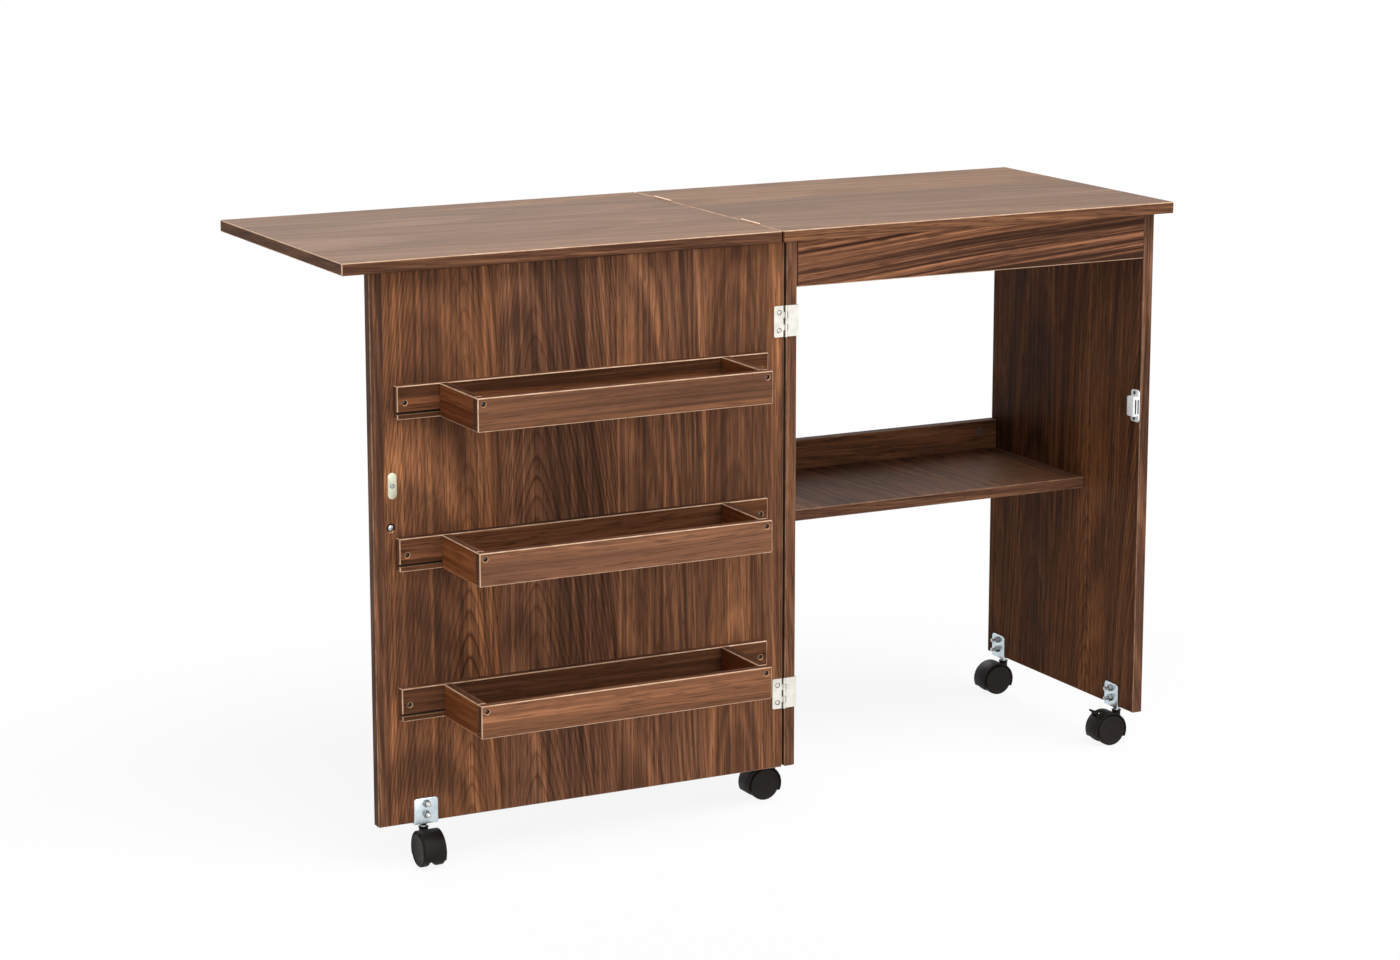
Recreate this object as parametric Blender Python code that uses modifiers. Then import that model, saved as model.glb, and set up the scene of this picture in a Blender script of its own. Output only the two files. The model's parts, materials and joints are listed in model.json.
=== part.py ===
"""Sewing cabinet on casters: carcass with a shelf, fold-over leaf, and a swinging door with three bins.

Metres, +Z up. The floor is z = 0, the seam between the leaf and the main top is x = 0, and the viewer of the
open cabinet stands on the -Y side. The cabinet is modelled open: leaf unfolded, door swung out under it.
"""
import math

import bmesh
import bpy
from mathutils import Matrix, Vector

# Boards and clearances
BOARD = 0.015               # thickness of the cabinet boards
ARRIS = 0.0011              # chamfer on board edges
GAP = 0.0003                # clearance between pieces that touch

# Worktop
TOP_HEIGHT = 0.757
TOP_LENGTH = 0.589          # each half of the worktop
TOP_DEPTH = 0.418
SEAM = 0.002                # open joint between the two halves
FRONT_OVERHANG = 0.020      # worktop beyond the carcass front
REAR_OVERHANG = 0.0255
END_OVERHANG = 0.0168       # worktop beyond the right panel

# Carcass
CASTER_HEIGHT = 0.054       # floor to the underside of panels and door
RAIL_HEIGHT = 0.061
SHELF_DROP = 0.398          # worktop surface to shelf surface
SHELF_SETBACK = 0.130       # carcass front to shelf front
SHELF_RAIL_RISE = 0.041     # back rail above the shelf surface
SHELF_RAIL_HEIGHT = 0.061

# Door
DOOR_LIP = 0.0048           # closed door beyond the right panel
DOOR_GAP = 0.0035           # between the open door's edge and the left panel
DOOR_TOP_GAP = 0.0015       # under the worktop
HINGE_LINE = 0.01475        # x of the door's pins
PIN_STANDOFF = 0.002        # pins in front of the carcass front

# Door hinges
HINGE_HEIGHT = 0.0398
HINGE_PLATE_WIDTH = 0.0168
STRAP_RETURN = 0.028        # strap along the panel's inner face
UPPER_HINGE_DROP = 0.118    # worktop surface to hinge middle
LOWER_HINGE_DROP = 0.604
HINGE_METAL = 0.0012
HINGE_BARREL = 0.002        # radius
HINGE_PIN = 0.0011          # radius
PIN_END = 0.0006            # pin beyond the barrel, each end
PIN_FIT = 0.0002
KNUCKLES = 5
KNUCKLE_RELIEF = 0.0014     # plate cut back from the other half's knuckles

# Leaf hinges
LEAF_HINGE_LENGTH = 0.050
LEAF_HINGE_INSET = 0.085    # worktop edge to hinge middle
LEAF_HINGE_DROP = 0.012     # plate below the worktop surface
LEAF_HINGE_METAL = 0.0012
LEAF_BARREL = 0.0016        # radius
LEAF_PIN = 0.0007           # radius
LEAF_PIN_RISE = 0.0004      # pin above the worktop surface
LEAF_PLATE_SPACE = 0.0004   # between the two plates in the seam

# Knob, strike plate and magnetic catch
KNOB_INSET = 0.0232         # door's free edge to knob and strike axis
KNOB_DROP = 0.329
KNOB_RADIUS = 0.014
KNOB_LENGTH = 0.023
KNOB_HEAD = 0.0115          # height of the rounded head
KNOB_NECK = 0.0063          # radius
KNOB_FOOT = 0.0087          # radius
KNOB_FOOT_HEIGHT = 0.0023
STRIKE_INSET = 0.0251
STRIKE_DROP = 0.277
STRIKE_WIDTH = 0.0118
STRIKE_HEIGHT = 0.033
STRIKE_METAL = 0.0015
CATCH_FLANGE_WIDTH = 0.018 
CATCH_FLANGE_HEIGHT = 0.0435
CATCH_FLANGE_CORNER = 0.004
CATCH_FLANGE = 0.002
CATCH_SETBACK = 0.001       # carcass front to catch flange
CATCH_BODY_REACH = 0.0108   # body out from the panel
CATCH_BODY_DEPTH = 0.0165
CATCH_BODY_HEIGHT = 0.0268
CATCH_BODY_EDGE = 0.0012    # chamfer
CATCH_NOSE = 0.003          # housing in front of the magnet
MAGNET_WIDTH = 0.0052       # over both pole plates
MAGNET_HEIGHT = 0.019
MAGNET_DEPTH = 0.009
POLE_METAL = 0.001 
POLE_PROUD = 0.0012         # pole plates beyond the housing's front

# Bins
BIN_TOPS = {"upper": 0.154, "middle": 0.341, "lower": 0.528}    # worktop surface to bin rim
BIN_BOARD = 0.012
BIN_HEIGHT = 0.041
BIN_MARGIN = 0.02875        # door's edge to the end of the back board
BIN_EAR = 0.055             # back board beyond the bin, each end
BIN_DEPTH = 0.126           # door face to the front of the bin
BIN_FLOOR = 0.003
BIN_FLOOR_RISE = 0.0063     # underside of the floor above the bin's lower edge
GROOVE_DEPTH = 0.005

# Casters
WHEEL_RADIUS = 0.021
WHEEL_WIDTH = 0.0105
WHEEL_SPACE = 0.0094        # between the two wheels
WHEEL_ROUND = 0.0013        # rounded edge of the tread
WHEEL_RIM = 0.0034          # width of the rim round the dished face
WHEEL_DISH = 0.0008
TRAIL = 0.0165              # stem axis to axle
AXLE_RADIUS = 0.0025
HUB_RADIUS = 0.005
WEB = 0.006                 # hood between the wheels
HOOD_CLEARANCE = 0.0014     # over the tread
HOOD_WALL = 0.0022
HOOD_WIDTH = 0.0276
HOOD_DIP = 25.0             # degrees that the hood reaches below the axle
BOSS_RADIUS = 0.0065        # lip of the boss
BOSS_WAIST = 0.0058
BOSS_LIP = 0.0012
NUT_RADIUS = 0.0045
NUT_HEIGHT = 0.003 
STEM_SHOW = 0.0024          # bare stem between nut and boss
STEM_RADIUS = 0.0032
RIVET_RADIUS = 0.0048
RIVET_HEIGHT = 0.002
STEM_POCKET_RADIUS = 0.0055
BRACKET_WIDTH = 0.0318
BRACKET_RISE = 0.031        # plate above the panel's lower edge
BRACKET_METAL = 0.002
BRACKET_CORNER = 0.0048
CASTER_FROM_FRONT = 0.050   # carcass front to front stems
CASTER_FROM_REAR = 0.0315
DOOR_CASTER_INSET = 0.062   # door's free edge to its stem

# Brake levers
LEVER_ANGLE = 125.0         # degrees round the axle, from the leading side
LEVER_STANDOFF = 0.0026     # lever pivot outside the hood
LEVER_BARREL = 0.002
LEVER_TRUNNION = 0.0011
LEVER_WIDTH = 0.0104
LEVER_REACH = 0.010
LEVER_METAL = 0.003 
LEVER_TILT = 35.0           # degrees above level
EAR_WIDTH = 0.003
EAR_RADIUS = 0.0034

# Round pieces
FINE = 24                   # sides of wheels, hoods and the knob
COARSE = 14                 # sides of barrels, stems and pins
SMOOTH_ANGLE = math.radians(35)

# Places worked out from the sizes above
REAR_REACH = TOP_DEPTH - FRONT_OVERHANG
FRONT = (BIN_DEPTH - REAR_REACH) / 2
REAR = FRONT + REAR_REACH - REAR_OVERHANG
UNDER_TOP = TOP_HEIGHT - BOARD
PANEL_TOP = UNDER_TOP - GAP
LEFT_OUTER = HINGE_LINE + DOOR_GAP / 2
LEFT_INNER = LEFT_OUTER + BOARD
RIGHT_OUTER = SEAM / 2 + TOP_LENGTH - END_OVERHANG
RIGHT_INNER = RIGHT_OUTER - BOARD
DOOR_EDGE = HINGE_LINE - DOOR_GAP / 2
DOOR_FREE = DOOR_EDGE - (RIGHT_OUTER - LEFT_OUTER + DOOR_LIP)
SHELF_TOP = TOP_HEIGHT - SHELF_DROP
LEAF_PIN_Z = TOP_HEIGHT + LEAF_PIN_RISE
TOP_FRONT = FRONT - FRONT_OVERHANG
TOP_REAR = TOP_FRONT + TOP_DEPTH
HOOD_INNER = WHEEL_RADIUS + HOOD_CLEARANCE
HOOD_OUTER = HOOD_INNER + HOOD_WALL
FLANGE_TOP = CASTER_HEIGHT - GAP
FLANGE_BOTTOM = FLANGE_TOP - BRACKET_METAL

# Collections and materials
PARTS = bpy.data.collections.new("sewing_cabinet")
TOOLS = bpy.data.collections.new("cutters")

FINISHES = {
    "walnut": ((0.165, 0.082, 0.046), 0.45, 0.0),
    "walnut_top": ((0.30, 0.205, 0.145), 0.35, 0.0),
    "nickel": ((0.74, 0.70, 0.61), 0.35, 0.8),
    "zinc": ((0.62, 0.71, 0.73), 0.38, 0.9),
    "white_plastic": ((0.83, 0.87, 0.93), 0.4, 0.0),
    "steel": ((0.28, 0.28, 0.30), 0.4, 0.9),
    "brass": ((0.45, 0.33, 0.15), 0.4, 0.9),
    "black_plastic": ((0.016, 0.013, 0.012), 0.4, 0.0),
    "grey_plastic": ((0.045, 0.04, 0.038), 0.5, 0.0),
}


def clear_scene():
    """Start from an empty scene."""
    for obj in list(bpy.data.objects):
        bpy.data.objects.remove(obj)
    for collection in (PARTS, TOOLS):
        bpy.context.scene.collection.children.link(collection)


def finish(part_name, kind):
    """A material of the part's own, in one of the cabinet's finishes."""
    colour, roughness, metallic = FINISHES[kind]
    material = bpy.data.materials.new(part_name + "_" + kind)
    material.use_nodes = True
    shader = material.node_tree.nodes["Principled BSDF"]
    shader.inputs["Base Color"].default_value = (*colour, 1.0)
    shader.inputs["Roughness"].default_value = roughness
    shader.inputs["Metallic"].default_value = metallic
    material.diffuse_color = (*colour, 1.0)
    return material


def pivot(name, place, parent=None):
    """An empty on a joint axis, given by its world matrix."""
    empty = bpy.data.objects.new(name, None)
    empty.empty_display_size = 0.02
    PARTS.objects.link(empty)
    empty.parent = parent
    if parent is None:
        empty.matrix_local = place
    else:
        empty.matrix_local = Matrix(parent["place"]).inverted() @ place
    empty["place"] = [list(row) for row in place]
    return empty


def part(name, mesh, kind, place=None, parent=None, rounded=False):
    """A named piece of the cabinet. Its place is a world matrix, and its mesh may be shared."""
    obj = bpy.data.objects.new(name, mesh)
    PARTS.objects.link(obj)
    if rounded:
        mesh.shade_smooth()
        mesh.set_sharp_from_angle(angle=SMOOTH_ANGLE)
    place = place or Matrix()
    if parent is not None:
        obj.parent = parent
        place = Matrix(parent["place"]).inverted() @ place
    obj.matrix_local = place
    if not mesh.materials:
        mesh.materials.append(None)
    obj.material_slots[0].link = "OBJECT"
    obj.material_slots[0].material = finish(name, kind)
    return obj


def tool(bm):
    """A shape that is still being worked on, kept with the cutters."""
    mesh = bpy.data.meshes.new("tool")
    bm.to_mesh(mesh)
    bm.free()
    return tool_object(mesh)


def tool_object(mesh):
    obj = bpy.data.objects.new("tool", mesh)
    obj.hide_render = True
    obj.display_type = "WIRE"
    TOOLS.objects.link(obj)
    return obj


def bake(obj):
    """The finished mesh of a worked shape, which is then removed."""
    graph = bpy.context.evaluated_depsgraph_get()
    mesh = bpy.data.meshes.new_from_object(obj.evaluated_get(graph))
    bpy.data.objects.remove(obj)
    return mesh


def block(low, high):
    """A box between two corners."""
    size = Vector(high) - Vector(low)
    middle = (Vector(high) + Vector(low)) / 2
    bm = bmesh.new()
    bmesh.ops.create_cube(bm, size=1.0, matrix=Matrix.Translation(middle) @ Matrix.Diagonal((*size, 1.0)))
    return tool(bm)


def rod(radius, length, place, sides=COARSE):
    """A cylinder along its own Z, centred on a place."""
    bm = bmesh.new()
    bmesh.ops.create_cone(bm, cap_ends=True, segments=sides, radius1=radius, radius2=radius, depth=length,
                          matrix=place)
    return tool(bm)


def arc(radius, start, stop, count, middle=(0.0, 0.0)):
    """Points on an arc, with its angles in degrees."""
    angles = [math.radians(start + (stop - start) * i / count) for i in range(count + 1)]
    return [(middle[0] + radius * math.cos(a), middle[1] + radius * math.sin(a)) for a in angles]


def slab(outline, thickness, place):
    """A flat outline given thickness along its own Z, centred on its plane."""
    curve = bpy.data.curves.new("outline", "CURVE")
    curve.dimensions = "2D"
    curve.fill_mode = "BOTH"
    curve.extrude = thickness / 2
    spline = curve.splines.new("POLY")
    spline.points.add(len(outline) - 1)
    for point, (x, y) in zip(spline.points, outline):
        point.co = (x, y, 0.0, 1.0)
    spline.use_cyclic_u = True
    holder = bpy.data.objects.new("outline", curve)
    TOOLS.objects.link(holder)
    mesh = bake(holder)
    bm = bmesh.new()
    bm.from_mesh(mesh)
    bmesh.ops.remove_doubles(bm, verts=bm.verts, dist=0.00001)
    bmesh.ops.recalc_face_normals(bm, faces=bm.faces)
    bm.transform(place)
    return tool(bm)


def turned(profile, steps=FINE):
    """A turned shape about Z, from (radius, height) points that run from the top down."""
    bm = bmesh.new()
    verts = [bm.verts.new((radius, 0.0, height)) for radius, height in profile]
    for upper, lower in zip(verts, verts[1:]):
        bm.edges.new((upper, lower))
    obj = tool(bm)
    screw = obj.modifiers.new("turn", "SCREW")
    screw.axis = "Z"
    screw.steps = steps
    screw.render_steps = steps
    screw.use_merge_vertices = True
    screw.merge_threshold = 0.00001
    return obj


def rounded_outline(width, height, corner, steps=4):
    """A rectangle with round corners, centred on the origin."""
    x = width / 2 - corner
    y = height / 2 - corner
    outline = []
    for start, middle in ((0, (x, y)), (90, (-x, y)), (180, (-x, -y)), (270, (x, -y))):
        outline += arc(corner, start, start + 90, steps, middle)
    return outline


def shaped(base, joins=(), cuts=(), chamfer=0.0):
    """The mesh of a shape after its edges are chamfered and other shapes are joined to it or cut from it."""
    if chamfer:
        bevel = base.modifiers.new("arris", "BEVEL")
        bevel.width = chamfer
        bevel.segments = 1
        bevel.limit_method = "ANGLE"
    for operation, tools in (("UNION", joins), ("DIFFERENCE", cuts)):
        for other in tools:
            boolean = base.modifiers.new(operation.lower(), "BOOLEAN")
            boolean.operation = operation
            boolean.object = other
    mesh = bake(base)
    for other in (*joins, *cuts):
        bpy.data.objects.remove(other)
    return mesh


def board(name, low, high, cuts=(), parent=None, kind="walnut", chamfer=ARRIS):
    """A board between two corners, with fine chamfers, placed by its middle."""
    mesh = shaped(block(low, high), cuts=cuts, chamfer=chamfer)
    middle = Matrix.Translation((Vector(low) + Vector(high)) / 2)
    mesh.transform(middle.inverted())
    return part(name, mesh, kind, middle, parent)


def at(x, y, z):
    return Matrix.Translation((x, y, z))


def stem_pocket(x, y):
    """Blind hole in a board's lower edge, round the riveted end of a caster stem."""
    depth = RIVET_HEIGHT + 4 * GAP
    return rod(STEM_POCKET_RADIUS, 2 * depth, at(x, y, CASTER_HEIGHT))


# Worktop halves and their hinges
LEAF_HINGE_YS = {"front": TOP_FRONT + LEAF_HINGE_INSET, "rear": TOP_REAR - LEAF_HINGE_INSET}
LEAF_PLATE_OUTER = LEAF_PLATE_SPACE / 2 + LEAF_HINGE_METAL
ALONG_Y = Matrix.Rotation(math.pi / 2, 4, "X")
UPRIGHT = Matrix(((0, 0, 1, 0), (1, 0, 0, 0), (0, 1, 0, 0), (0, 0, 0, 1)))     # an outline's X, Y to Y, Z


def seam_mortises():
    """Cutters for the hinges let into the seam: a shallow bed for the plates and a round for the barrel."""
    cutters = []
    half = LEAF_HINGE_LENGTH / 2 + GAP
    reach = LEAF_PLATE_OUTER + GAP
    for y in LEAF_HINGE_YS.values():
        low = (-reach, y - half, TOP_HEIGHT - LEAF_HINGE_DROP - GAP)
        high = (reach, y + half, TOP_HEIGHT + LEAF_HINGE_DROP)
        cutters.append(block(low, high))
        cutters.append(rod(LEAF_BARREL + GAP, 2 * half, at(0, y, LEAF_PIN_Z) @ ALONG_Y))
    return cutters


def worktop(leaf_axis):
    inner = SEAM / 2
    outer = inner + TOP_LENGTH
    low_high_z = (UNDER_TOP, TOP_HEIGHT)
    board("main_top", (inner, TOP_FRONT, low_high_z[0]), (outer, TOP_REAR, low_high_z[1]),
          seam_mortises(), kind="walnut_top")
    board("leaf_top", (-outer, TOP_FRONT, low_high_z[0]), (-inner, TOP_REAR, low_high_z[1]),
          seam_mortises(), leaf_axis, "walnut_top")


def hinge_half(outline, length, own, clear_low, clear_high):
    """One half of a butt hinge: a plate rolled into a barrel, with the other half's knuckles cut away.

    The outline lies across the pin, which is at its origin. The knuckles that aren't this half's own are
    cleared between two corners given across the pin.
    """
    pitch = length / KNUCKLES
    cuts = []
    for i in range(KNUCKLES):
        if i % 2 == own:
            continue
        start = -length / 2 + i * pitch - GAP / 2
        stop = start + pitch + GAP
        start -= pitch * (i == 0)
        stop += pitch * (i == KNUCKLES - 1)
        cuts.append(block((*clear_low, start), (*clear_high, stop)))
    return slab(outline, length, Matrix()), cuts


def leaf_hinges(leaf_axis):
    """Slim butt hinges in the seam: plates against the two edges, barrel at the worktop surface."""
    inner = LEAF_PLATE_SPACE / 2
    outer = LEAF_PLATE_OUTER
    foot = -LEAF_HINGE_DROP - LEAF_PIN_RISE
    start = -math.degrees(math.acos(outer / LEAF_BARREL))
    stop = 360 - math.degrees(math.acos(inner / LEAF_BARREL))
    main_outline = [(inner, foot), (outer, foot)] + arc(LEAF_BARREL, start, stop, COARSE)
    leaf_outline = [(-x, y) for x, y in reversed(main_outline)]
    clear = LEAF_BARREL + GAP
    bore_radius = LEAF_PIN + PIN_FIT
    halves = (("main", main_outline, 0, None), ("leaf", leaf_outline, 1, leaf_axis))
    for end, y in LEAF_HINGE_YS.items():
        place = at(0, y, LEAF_PIN_Z) @ ALONG_Y
        for side, outline, own, parent in halves:
            base, cuts = hinge_half(outline, LEAF_HINGE_LENGTH, own, (-clear, -clear), (clear, clear))
            cuts.append(rod(bore_radius, 2 * LEAF_HINGE_LENGTH, Matrix()))
            name = f"{end}_leaf_hinge_{side}_plate"
            part(name, shaped(base, cuts=cuts), "brass", place, parent, rounded=True)
        part(f"{end}_leaf_hinge_pin", bake(rod(LEAF_PIN, LEAF_HINGE_LENGTH, Matrix())), "brass", place,
             rounded=True)


# Carcass
def carcass():
    stem_ys = (FRONT + CASTER_FROM_FRONT, REAR - CASTER_FROM_REAR)
    for name, low_x in (("left_side_panel", LEFT_OUTER), ("right_side_panel", RIGHT_INNER)):
        cuts = [stem_pocket(low_x + BOARD / 2, y) for y in stem_ys]
        board(name, (low_x, FRONT, CASTER_HEIGHT), (low_x + BOARD, REAR, PANEL_TOP), cuts)
    left = LEFT_INNER + GAP
    right = RIGHT_INNER - GAP
    rail_bottom = UNDER_TOP - RAIL_HEIGHT
    board("front_rail", (left, FRONT, rail_bottom), (right, FRONT + BOARD, PANEL_TOP))
    board("rear_rail", (left, REAR - BOARD, rail_bottom), (right, REAR, PANEL_TOP))
    rail_top = SHELF_TOP + SHELF_RAIL_RISE
    board("shelf", (left, FRONT + SHELF_SETBACK, SHELF_TOP - BOARD), (right, REAR - BOARD - GAP, SHELF_TOP))
    board("shelf_back_rail", (left, REAR - BOARD, rail_top - SHELF_RAIL_HEIGHT), (right, REAR, rail_top))


# Door, its hinges, knob and catch
def door(door_axis):
    cuts = [stem_pocket(DOOR_FREE + DOOR_CASTER_INSET, FRONT + BOARD / 2)]
    low = (DOOR_FREE, FRONT, CASTER_HEIGHT)
    high = (DOOR_EDGE, FRONT + BOARD, UNDER_TOP - DOOR_TOP_GAP)
    board("door_panel", low, high, cuts, door_axis)


def door_hinges(door_axis):
    """Hinges with a plate on the door's face and a strap that wraps round the left panel's front edge."""
    back = PIN_STANDOFF - PIN_FIT
    face = back - HINGE_METAL
    low_angle = math.degrees(math.asin(face / HINGE_BARREL))
    high_angle = math.degrees(math.asin(back / HINGE_BARREL))
    plate_end = -HINGE_PLATE_WIDTH
    door_outline = [(plate_end, back), (plate_end, face)]
    door_outline += arc(HINGE_BARREL, 180 - low_angle, 540 - high_angle, COARSE)
    wrap_inner = LEFT_INNER - HINGE_LINE + PIN_FIT
    wrap_outer = wrap_inner + HINGE_METAL
    wrap_end = PIN_STANDOFF + STRAP_RETURN
    strap_outline = [(wrap_outer, face), (wrap_outer, wrap_end), (wrap_inner, wrap_end), (wrap_inner, back)]
    strap_outline += arc(HINGE_BARREL, high_angle, 360 + low_angle, COARSE)
    clear = HINGE_BARREL + KNUCKLE_RELIEF
    bore_radius = HINGE_PIN + PIN_FIT
    halves = (("door_plate", door_outline, 1, door_axis), ("carcass_strap", strap_outline, 0, None))
    for level, drop in (("upper", UPPER_HINGE_DROP), ("lower", LOWER_HINGE_DROP)):
        place = at(HINGE_LINE, FRONT - PIN_STANDOFF, TOP_HEIGHT - drop)
        for half, outline, own, parent in halves:
            base, cuts = hinge_half(outline, HINGE_HEIGHT, own, (-clear, -clear), (clear, clear))
            cuts.append(rod(bore_radius, 2 * HINGE_HEIGHT, Matrix()))
            part(f"{level}_hinge_{half}", shaped(base, cuts=cuts), "nickel", place, parent, rounded=True)
        pin = rod(HINGE_PIN, HINGE_HEIGHT + 2 * PIN_END, Matrix())
        part(f"{level}_hinge_pin", bake(pin), "nickel", place, rounded=True)


def knob(door_axis):
    """Turned knob on the door's outer face: a mushroom head on a neck and a flat foot."""
    half_head = KNOB_HEAD / 2
    head_middle = KNOB_LENGTH - half_head
    head = [(KNOB_RADIUS * x, head_middle + half_head * y) for x, y in arc(1.0, 72, -54, 7)]
    profile = [(0.0, KNOB_LENGTH), *head, (KNOB_NECK, KNOB_LENGTH - KNOB_HEAD),
               (KNOB_NECK, 2 * KNOB_FOOT_HEIGHT), (KNOB_FOOT, KNOB_FOOT_HEIGHT), (KNOB_FOOT, 0.0), (0.0, 0.0)]
    place = at(DOOR_FREE + KNOB_INSET, FRONT + BOARD + GAP, TOP_HEIGHT - KNOB_DROP)
    outward = Matrix.Rotation(-math.pi / 2, 4, "X")
    part("door_knob", bake(turned(profile)), "nickel", place @ outward, door_axis, rounded=True)


def strike(door_axis):
    """Steel plate with round ends that meets the magnetic catch."""
    radius = STRIKE_WIDTH / 2
    straight = (STRIKE_HEIGHT - STRIKE_WIDTH) / 2
    outline = arc(radius, 0, 180, 12, (0, straight)) + arc(radius, 180, 360, 12, (0, -straight))
    place = at(DOOR_FREE + STRIKE_INSET, FRONT - GAP - STRIKE_METAL / 2, TOP_HEIGHT - STRIKE_DROP)
    part("strike_plate", bake(slab(outline, STRIKE_METAL, Matrix())), "nickel", place @ ALONG_Y, door_axis)


def catch():
    """Magnetic catch on the right panel: a flanged housing, and a magnet with pole plates."""
    middle = TOP_HEIGHT - STRIKE_DROP
    seat = RIGHT_INNER - GAP
    body_middle = seat - CATCH_BODY_REACH / 2
    outline = rounded_outline(CATCH_FLANGE_WIDTH, CATCH_FLANGE_HEIGHT, CATCH_FLANGE_CORNER)
    flange_y = FRONT + CATCH_SETBACK + CATCH_FLANGE_WIDTH / 2
    flange = slab(outline, CATCH_FLANGE, at(seat - CATCH_FLANGE / 2, flange_y, middle) @ UPRIGHT)
    half_body = CATCH_BODY_HEIGHT / 2
    body = block((seat - CATCH_BODY_REACH, FRONT, middle - half_body),
                 (seat - CATCH_FLANGE / 2, FRONT + CATCH_BODY_DEPTH, middle + half_body))

    def magnet_shape(spare):
        """The magnet with a pole plate along each side, or the room round it."""
        outer = MAGNET_WIDTH / 2 + spare
        inner = MAGNET_WIDTH / 2 - POLE_METAL - spare
        front = FRONT + CATCH_NOSE - spare
        back = FRONT + CATCH_NOSE + MAGNET_DEPTH + spare
        tip = FRONT - POLE_PROUD - spare
        outline = [(-outer, back), (-outer, tip), (-inner, tip), (-inner, front), (inner, front), (inner, tip),
                   (outer, tip), (outer, back)]
        return slab(outline, MAGNET_HEIGHT + 2 * spare, at(body_middle, 0, middle))

    mesh = shaped(body, joins=[flange], cuts=[magnet_shape(GAP)], chamfer=CATCH_BODY_EDGE)
    part("magnetic_catch", mesh, "white_plastic")
    part("catch_magnet", bake(magnet_shape(0.0)), "steel")


# Bins
def bin_boards(level, drop, door_axis):
    """One bin: boards grooved for a thin floor, hung on the door by the ears of its back board."""
    low_z = TOP_HEIGHT - drop - BIN_HEIGHT
    high_z = low_z + BIN_HEIGHT
    long_left = DOOR_FREE + BIN_MARGIN
    long_right = DOOR_EDGE - BIN_MARGIN
    left = long_left + BIN_EAR
    right = long_right - BIN_EAR
    back_front = FRONT - GAP - BIN_BOARD
    front_front = FRONT - BIN_DEPTH
    front_back = front_front + BIN_BOARD
    groove_low = low_z + BIN_FLOOR_RISE - GAP
    groove_high = groove_low + BIN_FLOOR + 2 * GAP

    def groove(low_x, low_y, high_x, high_y):
        return [block((low_x, low_y, groove_low), (high_x, high_y, groove_high))]

    board(f"{level}_bin_back_board", (long_left, back_front, low_z), (long_right, FRONT - GAP, high_z),
          groove(long_left - GROOVE_DEPTH, back_front - GROOVE_DEPTH, long_right + GROOVE_DEPTH,
                 back_front + GROOVE_DEPTH), door_axis)
    board(f"{level}_bin_front_board", (left, front_front, low_z), (right, front_back, high_z),
          groove(left - GROOVE_DEPTH, front_back - GROOVE_DEPTH, right + GROOVE_DEPTH,
                 front_back + GROOVE_DEPTH), door_axis)
    end_front = front_back + GAP
    end_back = back_front - GAP
    inner_left = left + BIN_BOARD
    inner_right = right - BIN_BOARD
    board(f"{level}_bin_left_end", (left, end_front, low_z), (inner_left, end_back, high_z),
          groove(inner_left - GROOVE_DEPTH, end_front - GROOVE_DEPTH, inner_left + GROOVE_DEPTH,
                 end_back + GROOVE_DEPTH), door_axis)
    board(f"{level}_bin_right_end", (inner_right, end_front, low_z), (right, end_back, high_z),
          groove(inner_right - GROOVE_DEPTH, end_front - GROOVE_DEPTH, inner_right + GROOVE_DEPTH,
                 end_back + GROOVE_DEPTH), door_axis)
    tongue = GROOVE_DEPTH - GAP
    floor_low = (inner_left - tongue, front_back - tongue, groove_low + GAP)
    floor_high = (inner_right + tongue, back_front + tongue, groove_low + GAP + BIN_FLOOR)
    board(f"{level}_bin_floor", floor_low, floor_high, parent=door_axis, chamfer=0.0)


# Casters. A caster is drawn with its stem axis on the origin, trailing towards -X, its axle along Y.
AXLE_PLACE = at(-TRAIL, 0, WHEEL_RADIUS) @ ALONG_Y


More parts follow.
